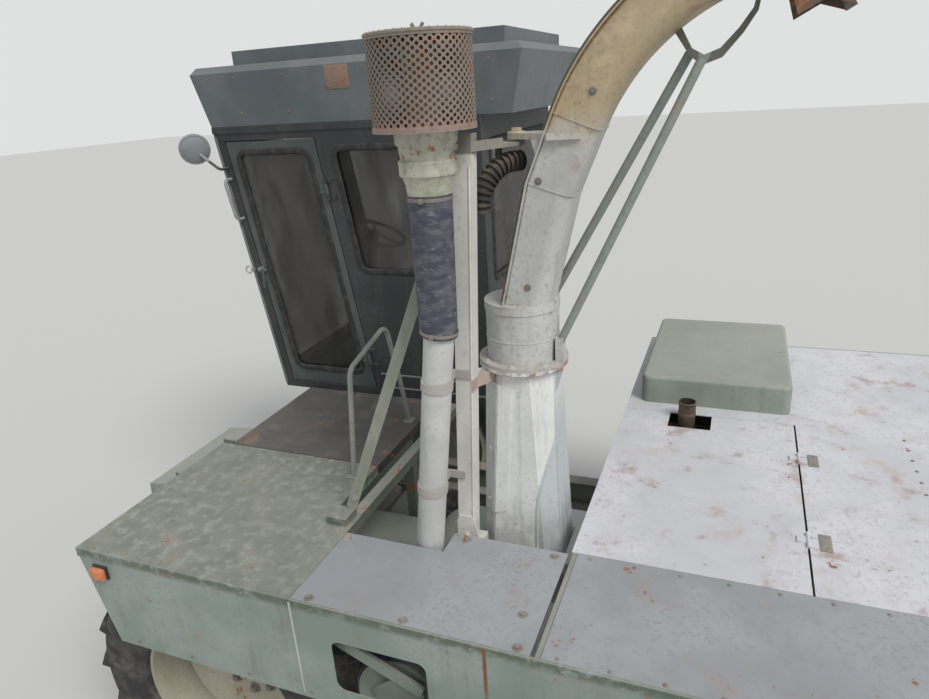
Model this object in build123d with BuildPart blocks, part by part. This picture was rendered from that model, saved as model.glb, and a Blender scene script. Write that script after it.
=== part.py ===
from build123d import *
import os
from math import cos, radians, sin

os.makedirs("parts", exist_ok=True)

# Self-propelled forage harvester, base machine without its header.
# Millimetres. X points to the machine's left, Y to its rear, Z up.
# The origin is on the ground below the middle of the machine.

# Overall layout
half_width = 1475.0
deck_z = 1450.0
sheet = 4.0
seat_gap = 0.3
pin_gap = 0.1
run_gap = 8.0

# Front drive wheels
front_axle_y = -1250.0
front_wheel_x = half_width - 280
front_tyre_r = 670.0
front_tyre_w = 420.0
front_rim_r = 390.0
front_lug_h = 32.0
front_lug_count = 18

# Rear steered wheels
rear_axle_y = 1380.0
rear_wheel_x = half_width - 395
rear_tyre_r = 470.0
rear_tyre_w = 300.0
rear_rim_r = 235.0
rear_lug_h = 16.0
rear_lug_count = 14
kingpin_x = rear_wheel_x - 280
kingpin_r = 26.0
steer_arm = 210.0
tie_rod_r = 17.0

# Main frame
rail_x = 400.0
rail_w = 80.0
rail_h = 180.0
rail_low = 750.0
rail_wall = 8.0
rail_front = -1750.0
rail_rear = 2440.0

# Feed housing and chopper
feed_half = 380.0
feed_front = -2600.0
feed_rear = -1960.0
feed_low = 380.0
feed_high = 960.0
feed_wall = 10.0
roll_r = 105.0
roll_core_r = 80.0
roll_bar_count = 8
roll_shaft_r = 25.0
lower_roll_z = 520.0
upper_roll_z = 790.0
roll_y = -2330.0
chopper_low = 330.0
chopper_high = 1080.0

# Tower and spout, turning about one upright line
tower_x = 650.0
tower_y = -45.0
tower_low = 1245.0
ring_z = 2110.0
ring_r = 172.0
ring_t = 14.0
collar_r = 139.0
collar_top = 2345.0
duct_wall = 4.0
spout_w = 214.0
spout_h = 160.0
spout_round = 60.0
spout_edge = 8.0
tube_y = -2.0
mitre_y = 96.0
mitre_z = 2760.0
mitre_lean = 18.0
elbow_y = 186.0
elbow_z = 2977.0
elbow_lean = 22.5
spout_bend_r = 747.0
spout_arc = 59.0
arm_z = 2905.0
arm_t = 12.0
arm_lip = 20.0
pivot_pin_r = 14.0

# Upright post beside the tower
post_x = 860.0
post_y = -238.0
post_lean = 78.0
post_w = 70.0
post_d = 55.0
post_foot_z = 1372.0
post_top_z = arm_z + 60

# Air intake
pipe_r = 54.0
pipe_foot = (1000.0, -368.0, 1250.0)
pipe_head = (1000.0, -232.0, 2370.0)
sleeve_r = 66.0
neck_low = 2790.0
basket_low = 2985.0
basket_top = 3265.0
basket_r = 162.0
basket_wall = 3.0
screen_rows = 7
screen_holes = 20
screen_hole = 22.0
screen_edge = 26.0
screen_pitch = 34.0

# Cab, whose front and door posts lean forwards
cab_left = -180.0
cab_right = -1440.0
cab_floor_z = 1450.0
cab_roof_z = 2980.0
cab_front_low = -1838.0
cab_rear = -480.0
cab_lean = 0.147
cab_wall = 30.0
post_face = 60.0
door_rear_low = -1195.0
roof_top_z = 3285.0
roof_flare = 70.0
roof_bevel = 34.0

# Body panels
skirt_low = 1000.0
fender_front = -1720.0
seam_front = -687.0
seam_rear = 47.0
deck_inner = 945.0
deck_rear = 195.0
hood_front = 205.0
lid_inner = 930.0
lid_far = -350.0
lid_rear = 1020.0
hood_rear = 2420.0


def lean_y(y_low, z):
    """Y of a leaning cab line that starts at y_low on the floor."""
    return y_low - (z - cab_floor_z) * cab_lean


def save(part, name):
    """Label one finished sub-part and write it out."""
    part.label = name
    export_step(part, f"parts/{name}.step")


def slab(xs, ys, zs, mode=Mode.ADD):
    """Add a box between two X, two Y and two Z values."""
    with Locations(((xs[0] + xs[1]) / 2, (ys[0] + ys[1]) / 2, (zs[0] + zs[1]) / 2)):
        Box(abs(xs[1] - xs[0]), abs(ys[1] - ys[0]), abs(zs[1] - zs[0]), mode=mode)


def rod(start, end, radius, mode=Mode.ADD):
    """Add a round bar from one point to another."""
    run = Vector(*end) - Vector(*start)
    with BuildSketch(Plane(origin=start, z_dir=run)) as face:
        Circle(radius)
    extrude(face.sketch, amount=run.length, mode=mode)


def flat_bar(start, end, width, thick, side):
    """Add a flat bar between two points, its width along side."""
    run = Vector(*end) - Vector(*start)
    with BuildSketch(Plane(origin=start, x_dir=side, z_dir=run)) as face:
        Rectangle(width, thick)
    extrude(face.sketch, amount=run.length)


def side_plate(points, x_low, thick, mode=Mode.ADD, corner=0):
    """Add a plate that lies along the machine's side, from its Y, Z corners."""
    with BuildSketch(Plane.YZ.offset(x_low)) as face:
        with BuildLine():
            Polyline(*points, close=True)
        make_face()
        if corner:
            fillet(face.vertices(), corner)
    extrude(face.sketch, amount=thick, mode=mode)


def bent_tube(points, radius, bend):
    """Add a round tube along straight runs joined by bends."""
    start = Vector(*points[0])
    run = Vector(*points[1]) - start
    with BuildLine() as route:
        FilletPolyline(*points, radius=bend)
    with BuildSketch(Plane(origin=start, z_dir=run)) as face:
        Circle(radius)
    sweep(face.sketch, path=route.wires()[0])


# Main frame: two channel rails joined by cross tubes, and the rear tow hitch with its pin bore
hitch_z = 640.0
hitch_y = 2545.0
hitch_r = 16.0
hitch_eye_r = 55.0
cross_ys = (-990.0, -250.0, 480.0, rear_axle_y, 1900.0, 2380.0)
with BuildPart() as main_frame:
    for side in (-1, 1):
        with BuildSketch(Plane.XZ.offset(-rail_front)):
            with Locations((side * rail_x, rail_low + rail_h / 2)):
                Rectangle(rail_w, rail_h)
            with Locations((side * (rail_x - rail_wall), rail_low + rail_h / 2)):
                Rectangle(rail_w, rail_h - 2 * rail_wall, mode=Mode.SUBTRACT)
        extrude(amount=rail_front - rail_rear)
    for y in cross_ys:
        with BuildSketch(Plane.YZ.offset(-rail_x - rail_w / 2 + rail_wall)):
            with Locations((y, rail_low + rail_h / 2)):
                Rectangle(80, 100)
        extrude(amount=2 * rail_x + rail_w - 2 * rail_wall)
    slab((-90, 90), (rail_rear - 20, rail_rear + 5), (hitch_z - 90, rail_low + rail_h))
    for up in (-1, 1):
        with BuildSketch(Plane.XY.offset(hitch_z + up * 45 - 10)):
            with Locations((0, (hitch_y + rail_rear) / 2)):
                Rectangle(110, hitch_y - rail_rear)
            with Locations((0, hitch_y)):
                Circle(hitch_eye_r)
                Circle(hitch_r, mode=Mode.SUBTRACT)
        extrude(amount=20)
save(main_frame.part, "main_frame")

# Deck beams across the machine, each on two short posts that stand on the rails
beam = 50.0
beam_top = deck_z - sheet - seat_gap
beam_half = half_width - sheet - seat_gap
beam_post_half = 30.0
deck_beam_ys = (-1640.0, -720.0, 235.0, 1110.0, 1900.0, 2375.0)
with BuildPart() as deck_beams:
    for y in deck_beam_ys:
        slab((-beam_half, beam_half), (y - beam / 2, y + beam / 2), (beam_top - beam, beam_top))
        for side in (-1, 1):
            slab((side * rail_x - beam_post_half, side * rail_x + beam_post_half),
                 (y - beam / 2, y + beam / 2), (rail_low + rail_h + seat_gap, beam_top - beam))
save(deck_beams.part, "deck_beams")

# Front axle: transmission case with two axle tubes, end plates and hub shafts
axle_half = front_wheel_x - 170
axle_tube_r = 70.0
end_plate_r = 170.0
end_plate_t = 60.0
hub_shaft_r = 60.0
hub_shaft_len = 120.0
with BuildPart() as front_axle:
    with Locations((0, front_axle_y, front_tyre_r)):
        Cylinder(axle_tube_r, 2 * axle_half, rotation=(0, 90, 0))
        Box(300, 330, 300)
    for side in (-1, 1):
        with Locations((side * (axle_half - end_plate_t / 2), front_axle_y, front_tyre_r)):
            Cylinder(end_plate_r, end_plate_t, rotation=(0, 90, 0))
        with Locations((side * (axle_half + hub_shaft_len / 2), front_axle_y, front_tyre_r)):
            Cylinder(hub_shaft_r, hub_shaft_len, rotation=(0, 90, 0))
        slab((side * rail_x - 60, side * rail_x + 60), (front_axle_y - 100, front_axle_y + 100),
             (front_tyre_r, rail_low - seat_gap))
save(front_axle.part, "front_axle")

# Rear axle: beam with a middle pivot seat and a kingpin sleeve at each end
axle_z = rear_tyre_r
sleeve_half = 65.0
with BuildPart() as rear_axle:
    slab((-kingpin_x, kingpin_x), (rear_axle_y - 60, rear_axle_y + 60), (axle_z - 55, axle_z + 55))
    slab((-110, 110), (rear_axle_y - 60, rear_axle_y + 60), (axle_z + 40, rail_low + 40))
    rod((0, rear_axle_y - 95, axle_z + 130), (0, rear_axle_y + 95, axle_z + 130), 45)
    for side in (-1, 1):
        with Locations((side * kingpin_x, rear_axle_y, axle_z)):
            Cylinder(60, 2 * sleeve_half)
            Cylinder(kingpin_r + pin_gap, 2 * sleeve_half, mode=Mode.SUBTRACT)
save(rear_axle.part, "rear_axle")

# Engine, as one plain block on the rails
engine_y = 820.0
engine_half = 410.0
engine_half_y = 230.0
engine_front = engine_y - engine_half_y
engine_top = 1345.0
with BuildPart() as engine_block:
    slab((-engine_half, engine_half), (engine_front, engine_y + engine_half_y),
         (rail_low + rail_h, engine_top))
save(engine_block.part, "engine_block")

# Wheels
hub_in = 50.0
disc_t = 14.0
hub_r = 150.0


def make_tyre(name, x, y, r, w, rim_r, lug_h, lug_count, lug_t, lean):
    """Tyre with staggered lugs; its axle runs along X."""
    lug_len = 0.56 * w
    tread_r = r - lug_h
    with BuildPart() as tyre:
        for half in (-1, 1):
            for turn in range(lug_count):
                angle = 360 / lug_count * (turn + 0.25 + 0.25 * half)
                out = Vector(0, sin(radians(angle)), cos(radians(angle)))
                across = Vector(1, 0, 0).rotate(Axis((0, 0, 0), out), -half * lean)
                middle = Vector(x + half * (0.5 * w - 0.5 * lug_len * cos(radians(lean))), y, r)
                with Locations(Plane(origin=middle + out * (r - lug_h / 2), x_dir=across, z_dir=out)):
                    Box(lug_len, lug_t, lug_h + 30)
        with Locations((x, y, r)):
            Cylinder(r, w, rotation=(0, 90, 0), mode=Mode.INTERSECT)
        with BuildSketch(Plane(origin=(x, y, r), x_dir=(1, 0, 0), z_dir=(0, -1, 0))):
            with BuildLine():
                Polyline(
                    (0.40 * w, rim_r),
                    (0.5 * w, rim_r + 0.35 * (tread_r - rim_r)),
                    (0.5 * w, rim_r + 0.78 * (tread_r - rim_r)),
                    (0.44 * w, tread_r - 8),
                    (0.22 * w, tread_r),
                    (-0.22 * w, tread_r),
                    (-0.44 * w, tread_r - 8),
                    (-0.5 * w, rim_r + 0.78 * (tread_r - rim_r)),
                    (-0.5 * w, rim_r + 0.35 * (tread_r - rim_r)),
                    (-0.40 * w, rim_r),
                    close=True,
                )
            make_face()
        revolve(axis=Axis((x, y, r), (1, 0, 0)))
    save(tyre.part, name)


def make_rim(name, x, y, r, w, rim_r, side, disc_x):
    """Dished steel wheel, open to both sides, that bolts to a hub face at disc_x."""
    out_r = rim_r - seat_gap
    half = 0.40 * w
    with BuildPart() as rim:
        with BuildSketch(Plane(origin=(x, y, r), x_dir=(side, 0, 0), z_dir=(0, -side, 0))):
            with BuildLine():
                Polyline(
                    (disc_x, 0),
                    (disc_x, hub_r * rim_r / front_rim_r + 40),
                    (disc_x + 30, out_r - 60),
                    (-half, out_r - 40),
                    (-half, out_r),
                    (half, out_r),
                    (half, out_r - 14),
                    (-half + 40, out_r - 26),
                    (disc_x + 30 + disc_t, out_r - 46),
                    (disc_x + disc_t, hub_r * rim_r / front_rim_r + 40),
                    (disc_x + disc_t, 60),
                    (disc_x + 55, 55),
                    (disc_x + 55, 0),
                    close=True,
                )
            make_face()
        revolve(axis=Axis((x, y, r), (1, 0, 0)))
    save(rim.part, name)


for tag, side in (("left", 1), ("right", -1)):
    make_tyre(f"front_tyre_{tag}", side * front_wheel_x, front_axle_y, front_tyre_r, front_tyre_w,
              front_rim_r, front_lug_h, front_lug_count, 46, side * 38)
    make_rim(f"front_rim_{tag}", side * front_wheel_x, front_axle_y, front_tyre_r, front_tyre_w,
             front_rim_r, side, -hub_in + seat_gap)
    make_tyre(f"rear_tyre_{tag}", side * rear_wheel_x, rear_axle_y, rear_tyre_r, rear_tyre_w,
              rear_rim_r, rear_lug_h, rear_lug_count, 44, 0)
    make_rim(f"rear_rim_{tag}", side * rear_wheel_x, rear_axle_y, rear_tyre_r, rear_tyre_w,
             rear_rim_r, side, -hub_in + seat_gap)

# Steering knuckles: kingpin, yoke, spindle and steering arm in one piece
yoke_t = 22.0
yoke_gap = 6.0
steer_arm_t = 20.0
arm_x = kingpin_x
arm_y = rear_axle_y - steer_arm
arm_top = axle_z - sleeve_half - yoke_gap - yoke_t
joint_pin_r = 11.0
yoke_out = rear_wheel_x - 175
yoke_web = 35.0
for tag, side in (("left", 1), ("right", -1)):
    outer = side * (rear_wheel_x - hub_in)
    with BuildPart() as knuckle:
        with Locations((side * kingpin_x, rear_axle_y, axle_z)):
            Cylinder(kingpin_r, 2 * (sleeve_half + yoke_gap + yoke_t))
        for up in (-1, 1):
            low = axle_z + up * (sleeve_half + yoke_gap)
            slab((side * (kingpin_x - 45), side * yoke_out), (rear_axle_y - 45, rear_axle_y + 45),
                 (low, low + up * yoke_t))
        slab((side * (yoke_out - yoke_web), side * yoke_out), (rear_axle_y - 45, rear_axle_y + 45),
             (axle_z - sleeve_half - yoke_gap - yoke_t, axle_z + sleeve_half + yoke_gap + yoke_t))
        rod((side * (yoke_out - 5), rear_axle_y, axle_z), (outer, rear_axle_y, axle_z), 38)
        rod((outer - side * 18, rear_axle_y, axle_z), (outer, rear_axle_y, axle_z), 85)
        with BuildSketch(Plane.XY.offset(arm_top)):
            with BuildLine():
                Polyline((side * (kingpin_x - 45), rear_axle_y + 45), (side * (arm_x - 32), arm_y - 32),
                         (side * (arm_x + 32), arm_y - 32), (side * (kingpin_x + 45), rear_axle_y + 45),
                         close=True)
            make_face()
            with Locations((side * arm_x, arm_y)):
                Circle(joint_pin_r + (pin_gap if side == 1 else 1.0), mode=Mode.SUBTRACT)
        extrude(amount=steer_arm_t)
    save(knuckle.part, f"knuckle_{tag}")

# Tie rod below the steering arms, with a pin up through each arm
rod_z = arm_top - tie_rod_r - 6
with BuildPart() as tie_rod:
    rod((-arm_x, arm_y, rod_z), (arm_x, arm_y, rod_z), tie_rod_r)
    for side in (-1, 1):
        rod((side * arm_x, arm_y, rod_z - 24), (side * arm_x, arm_y, arm_top + steer_arm_t + 8), joint_pin_r)
        rod((side * arm_x, arm_y, rod_z - 26), (side * arm_x, arm_y, rod_z + 22), 27)
save(tie_rod.part, "tie_rod")

# Feed housing: open at the front, floor, roof and two sides with shaft bores,
# and a lug on each side with the bore for the header's pin
lug_t = 26.0
pin_y = -2500.0
pin_z = 330.0
header_pin_r = 22.0
with BuildPart() as feed_housing:
    side_plate([(feed_front, feed_low), (feed_front + 60, feed_high), (feed_rear, feed_high + 60),
                (feed_rear, feed_low)], -feed_half, 2 * feed_half)
    slab((-feed_half + feed_wall, feed_half - feed_wall), (feed_front - 20, feed_rear + 1),
         (feed_low + feed_wall, feed_high - feed_wall), mode=Mode.SUBTRACT)
    for z in (lower_roll_z, upper_roll_z):
        for side in (-1, 1):
            rod((side * (feed_half - 1), roll_y, z), (side * (feed_half + 28), roll_y, z), 62)
        rod((-feed_half - 40, roll_y, z), (feed_half + 40, roll_y, z), roll_shaft_r + pin_gap,
            mode=Mode.SUBTRACT)
    for low_x in (-feed_half - lug_t, feed_half):
        side_plate([(pin_y - 60, feed_low + 60), (pin_y - 45, pin_z - 42), (pin_y + 45, pin_z - 42),
                    (pin_y + 90, feed_low + 60)], low_x, lug_t)
        rod((low_x, pin_y, pin_z), (low_x + lug_t, pin_y, pin_z), header_pin_r, mode=Mode.SUBTRACT)
save(feed_housing.part, "feed_housing")

# Feed rolls: a drum with bars along it and a shaft into each side plate
roll_half = feed_half - feed_wall - 8
for name, z in (("feed_roll_lower", lower_roll_z), ("feed_roll_upper", upper_roll_z)):
    with BuildPart() as feed_roll:
        rod((-roll_half, roll_y, z), (roll_half, roll_y, z), roll_core_r)
        rod((-feed_half - 20, roll_y, z), (feed_half + 20, roll_y, z), roll_shaft_r)
        with Locations(Plane(origin=(0, roll_y, z), x_dir=(0, 1, 0), z_dir=(1, 0, 0))):
            with PolarLocations(roll_core_r + (roll_r - roll_core_r) / 2 - 3, roll_bar_count):
                Box(roll_r - roll_core_r + 6, 16, 2 * roll_half)
    save(feed_roll.part, name)

# Chopper housing behind the feed housing, seated between the rails
chopper_half = rail_x - rail_w / 2 - seat_gap
with BuildPart() as chopper_housing:
    side_plate([(feed_rear + seat_gap, feed_low), (feed_rear + 160, chopper_low),
                (front_axle_y - 200, chopper_low), (front_axle_y - 180, chopper_high - 80),
                (feed_rear + 260, chopper_high), (feed_rear + seat_gap, feed_high + 50)],
               -chopper_half, 2 * chopper_half)
save(chopper_housing.part, "chopper_housing")

# Blower on the left of the frame, with its cross duct from the chopper and neck to the tower
blower_y = -330.0
blower_z = 1000.0
blower_r = 245.0
blower_in = 450.0
blower_out = 800.0
duct_rear = -1090.0
duct_high = 1115.0
with BuildPart() as blower_housing:
    slab((-340, blower_out), (front_axle_y - 180 + seat_gap, duct_rear),
         (rail_low + rail_h + seat_gap, duct_high))
    slab((blower_in, blower_out), (duct_rear - 1, blower_y), (rail_low + rail_h + seat_gap, duct_high))
    rod((blower_in, blower_y, blower_z), (blower_out, blower_y, blower_z), blower_r)
    side_plate([(tower_y - 165, tower_low - seat_gap), (tower_y + 165, tower_low - seat_gap),
                (tower_y - 70, blower_z - 80), (blower_y, blower_z)], tower_x - 150, 300)
save(blower_housing.part, "blower_housing")


def octagon(half_x, half_y, cut):
    """Corners of a rectangle with cut corners, in order."""
    return [(half_x, -half_y + cut), (half_x, half_y - cut), (half_x - cut, half_y),
            (-half_x + cut, half_y), (-half_x, half_y - cut), (-half_x, -half_y + cut),
            (-half_x + cut, -half_y), (half_x - cut, -half_y)]


# Discharge tower: folded eight-sided sheet duct under a round flange
with BuildPart() as discharge_tower:
    for inset, mode in ((0, Mode.ADD), (duct_wall, Mode.SUBTRACT)):
        for z, half_x, half_y, cut in ((tower_low, 150, 165, 55), (ring_z - ring_t, 134, 134, 76)):
            with BuildSketch(Plane(origin=(tower_x, tower_y, z))):
                with BuildLine():
                    Polyline(*octagon(half_x - inset, half_y - inset, cut - 0.5 * inset), close=True)
                make_face()
        loft(mode=mode)
    with BuildSketch(Plane(origin=(tower_x, tower_y, ring_z - ring_t))):
        Circle(ring_r)
        Circle(collar_r - duct_wall - 12, mode=Mode.SUBTRACT)
    extrude(amount=ring_t)
    slab((tower_x - 150, tower_x + 150), (tower_y - 165, tower_y + 165), (tower_low, tower_low + 6))
    side_plate([(tower_y + 136, 1985), (tower_y + ring_r - 4, ring_z - ring_t + 1),
                (tower_y + 132, ring_z - ring_t + 1)], tower_x + 30, 24)
save(discharge_tower.part, "discharge_tower")

# Spout, stored pointing to the rear: ring, collar, leaning tube with a mitre, and curved top.
# Its front sheet is wider than the duct, so a lip stands out on both sides
elbow = Vector(tower_x, elbow_y, elbow_z)
bend_y = elbow_y + spout_bend_r * cos(radians(elbow_lean))
bend_z = elbow_z - spout_bend_r * sin(radians(elbow_lean))
bend_axis = Axis((tower_x, bend_y, bend_z), (-1, 0, 0))
mitre = Vector(tower_x, mitre_y, mitre_z)


def lean_plane(origin, lean):
    """Plane across the spout at a point, by its lean; its Y points to the spout's inner side."""
    return Plane(origin=origin, x_dir=(1, 0, 0), z_dir=(0, sin(radians(lean)), cos(radians(lean))))


def spout_point(angle, out):
    """Y, Z of a point on the curved top, by angle past the elbow and distance out."""
    turn = radians(elbow_lean + angle)
    return (bend_y - (spout_bend_r + out) * cos(turn), bend_z + (spout_bend_r + out) * sin(turn))


def duct(inset, mode=Mode.ADD):
    """Add or cut the spout's duct, its walls moved in by inset."""
    faces = []
    for plane in (foot_plane, mitre_plane, mitre_plane, elbow_plane, elbow_plane):
        with BuildSketch(plane) as section:
            Rectangle(spout_w - 2 * inset, spout_h - 2 * inset)
            fillet(section.vertices().group_by(Axis.Y)[-1], spout_round - inset)
            fillet(section.vertices().group_by(Axis.Y)[0], spout_edge - inset)
        faces.append(section.sketch)
    loft(faces[0:2], mode=mode)
    loft(faces[2:4], mode=mode)
    revolve(faces[4], axis=bend_axis, revolution_arc=spout_arc, mode=mode)


def outer_strip(low, high, arc, half, out, thick):
    """Add a strip along the spout's outer side, from plane low to high and on around the bend."""
    faces = []
    for plane in (low, high, high):
        with BuildSketch(plane) as section:
            with Locations((0, -spout_h / 2 - out - thick / 2)):
                Rectangle(2 * half, thick)
        faces.append(section.sketch)
    loft(faces[0:2])
    if arc:
        revolve(faces[2], axis=bend_axis, revolution_arc=arc)


foot_plane = Plane(origin=(tower_x, tube_y, collar_top))
mitre_plane = lean_plane(mitre, mitre_lean)
elbow_plane = lean_plane(elbow, elbow_lean)
ring_face = ring_z + seat_gap
hinge_y, hinge_z = spout_point(spout_arc, spout_h / 2 + 14)
flap_half = spout_w / 2 + run_gap + sheet
flap_pin_r = 6.0
flap_eye_r = 12.0
lip_half = spout_w / 2 + 16
lip_t = 4.0
lip_end = 6.0
tongue_low = arm_z + arm_t + run_gap
tongue_t = 20.0
strut_r = 15.0
web_x = tower_x + 74
web_t = 14.0
collar_band = 26.0
near_strut = ((tower_x + 38, 114, 2205), (tower_x + 24, 557, 3141))
far_strut = ((tower_x - 143, -72, ring_face + 8), (tower_x - 22, 516, 3158))
with BuildPart() as spout:
    with BuildSketch(Plane.XY.offset(tongue_low)):
        with BuildLine():
            Polyline((tower_x - 96, 120), (tower_x - 70, 46), (tower_x - 24, tower_y - 22),
                     (tower_x, tower_y - 34), (tower_x + 24, tower_y - 22), (tower_x + 74, 46),
                     (tower_x + spout_w / 2 + 26, 96), (tower_x + spout_w / 2 + 8, 205),
                     (tower_x + spout_w / 2 - 6, 205), (tower_x + spout_w / 2 - 6, 120), close=True)
        make_face()
    extrude(amount=tongue_t)
    side_plate([(30, tongue_low + 1), (96, tongue_low + 1), (78, tongue_low - 76), (52, tongue_low - 76)],
               web_x, web_t)
    outer_strip(foot_plane, mitre_plane, 0, lip_half, 0, lip_t)
    outer_strip(mitre_plane, elbow_plane, spout_arc - lip_end, lip_half, 0, lip_t)
    side_plate([(470, 3222), (520, 3148), (556, 3122), (612, 3140), (668, 3205), (704, 3262), (716, 3339),
                (704, 3337), (690, 3268), (655, 3218), (606, 3166), (560, 3150), (522, 3172), (488, 3235)],
               tower_x - 22, 44)
    duct(0)
    duct(duct_wall, Mode.SUBTRACT)
    for foot, top in (near_strut, far_strut):
        rod(foot, top, strut_r)
    slab((tower_x + 20, tower_x + 56), (tower_y + 140, tower_y + ring_r - 2), (ring_face + ring_t - 1, 2216))
    with BuildSketch(Plane(origin=(tower_x, tower_y, ring_face))):
        Circle(ring_r)
        Circle(collar_r - duct_wall, mode=Mode.SUBTRACT)
    extrude(amount=ring_t)
    for low, high, grow in ((ring_face, collar_top, 0), (collar_top - collar_band, collar_top, 4)):
        with BuildSketch(Plane(origin=(tower_x, tower_y, low))):
            Circle(collar_r + grow)
            Circle(collar_r - duct_wall, mode=Mode.SUBTRACT)
        extrude(amount=high - low)
    with BuildSketch(Plane(origin=(tower_x, tower_y, collar_top))):
        Circle(collar_r + 4)
        with Locations((0, tube_y - tower_y)):
            Rectangle(spout_w - 2 * duct_wall - 60, spout_h - 2 * duct_wall - 2, mode=Mode.SUBTRACT)
    extrude(amount=6)
    rod((tower_x, tower_y, arm_z - 10), (tower_x, tower_y, tongue_low + tongue_t + 12), pivot_pin_r)
    rod((tower_x - flap_half - 8, hinge_y, hinge_z), (tower_x + flap_half + 8, hinge_y, hinge_z),
        flap_pin_r)
    rod((tower_x - 34, hinge_y, hinge_z), (tower_x + 34, hinge_y, hinge_z), 17)
save(spout.part, "spout")

# Wear strips along the spout's outer side, below and above its pivot
cover_half = spout_w / 2 + 3
cover_t = 10.0
with BuildPart() as spout_cover:
    outer_strip(foot_plane, mitre_plane, 0, cover_half, lip_t + seat_gap, cover_t)
    outer_strip(mitre_plane, elbow_plane, spout_arc - lip_end, cover_half, lip_t + seat_gap, cover_t)
    for zs in ((collar_top - 60, collar_top + 16), (tongue_low - 84, tongue_low + tongue_t + 10)):
        slab((tower_x - 200, tower_x + 200), (-160, 160), zs, mode=Mode.SUBTRACT)
save(spout_cover.part, "spout_cover")

# Flap at the spout's end: a back plate between two cheeks, hung on a cross pin
flap_tip = (hinge_y + 196, hinge_z - 278)
flap_front = (hinge_y + 52, hinge_z - 292)
flap_notch = (hinge_y + 122, hinge_z - 254)
with BuildPart() as spout_flap:
    for side in (-1, 1):
        inner = tower_x + side * (flap_half - sheet)
        side_plate([(hinge_y - 26, hinge_z - 34), (hinge_y, hinge_z + 12), (hinge_y + 24, hinge_z),
                    flap_tip, flap_notch, flap_front],
                   min(inner, inner + side * sheet), sheet)
    side_plate([(hinge_y + 20, hinge_z + 6), (hinge_y + 24, hinge_z), flap_tip,
                (flap_tip[0] - 5, flap_tip[1] - 1)], tower_x - flap_half, 2 * flap_half)
    for side in (-1, 1):
        rod((tower_x + side * 40, hinge_y, hinge_z), (tower_x + side * flap_half, hinge_y, hinge_z),
            flap_eye_r)
        slab((tower_x + side * 42, tower_x + side * flap_half), (hinge_y, hinge_y + 22),
             (hinge_z - 4, hinge_z + 4))
    rod((tower_x - flap_half, hinge_y, hinge_z), (tower_x + flap_half, hinge_y, hinge_z),
        flap_pin_r + 2 * pin_gap, mode=Mode.SUBTRACT)
save(spout_flap.part, "spout_flap")

# Post: upright channel with a foot plate, ring stay and top arm with the spout's pivot
post_rise = post_top_z - post_foot_z
stay_high = ring_z - ring_t - seat_gap
arm_rear = post_y + post_lean + post_w / 2
stay_t = 44.0
foot_half = 60.0
with BuildPart() as tower_post:
    with BuildSketch(Plane(origin=(post_x, post_y, post_foot_z), x_dir=(1, 0, 0),
                           z_dir=(0, post_lean, post_rise))):
        Rectangle(post_d, post_w)
        with Locations((-6, 0)):
            Rectangle(post_d - 6, post_w - 12, mode=Mode.SUBTRACT)
    extrude(amount=post_rise)
    slab((blower_out + seat_gap, post_x + foot_half), (post_y - foot_half, post_y + foot_half),
         (post_foot_z - 12, post_foot_z + 4))
    slab((blower_out + seat_gap, blower_out + 10), (post_y - foot_half, post_y + foot_half),
         (blower_z + 150, post_foot_z))
    with BuildSketch(Plane.XY.offset(arm_z)):
        with BuildLine():
            Polyline((tower_x + 16, tower_y + 30), (tower_x - 22, tower_y + 26), (tower_x - 34, tower_y),
                     (tower_x - 18, tower_y - 30), (post_x - post_d / 2, arm_rear - post_w),
                     (post_x + post_d / 2 - 1, arm_rear - post_w), (post_x + post_d / 2 - 1, arm_rear - 3),
                     close=True)
        make_face()
        with Locations((tower_x, tower_y)):
            Circle(pivot_pin_r + seat_gap, mode=Mode.SUBTRACT)
    extrude(amount=arm_t)
    with BuildSketch(Plane.XY.offset(arm_z + arm_t)):
        with BuildLine():
            Polyline((tower_x + 100, -68), (tower_x + 104, -61), (post_x + post_d / 2 - 1, arm_rear - 3),
                     (post_x + post_d / 2 - 1, arm_rear - 12), close=True)
        make_face()
    extrude(amount=arm_lip)
    with BuildSketch(Plane.XY.offset(stay_high - stay_t)):
        with BuildLine():
            Polyline((728.5, -166), (853, -237), (853, -171), (771, -123.5), close=True)
        make_face()
    extrude(amount=stay_t)
    flat_bar((930, seam_front - 40, deck_z + 36), (post_x - 4, post_y + 62, 2880), 46, 8, (1, 0, 0))
save(tower_post.part, "tower_post")

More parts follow.
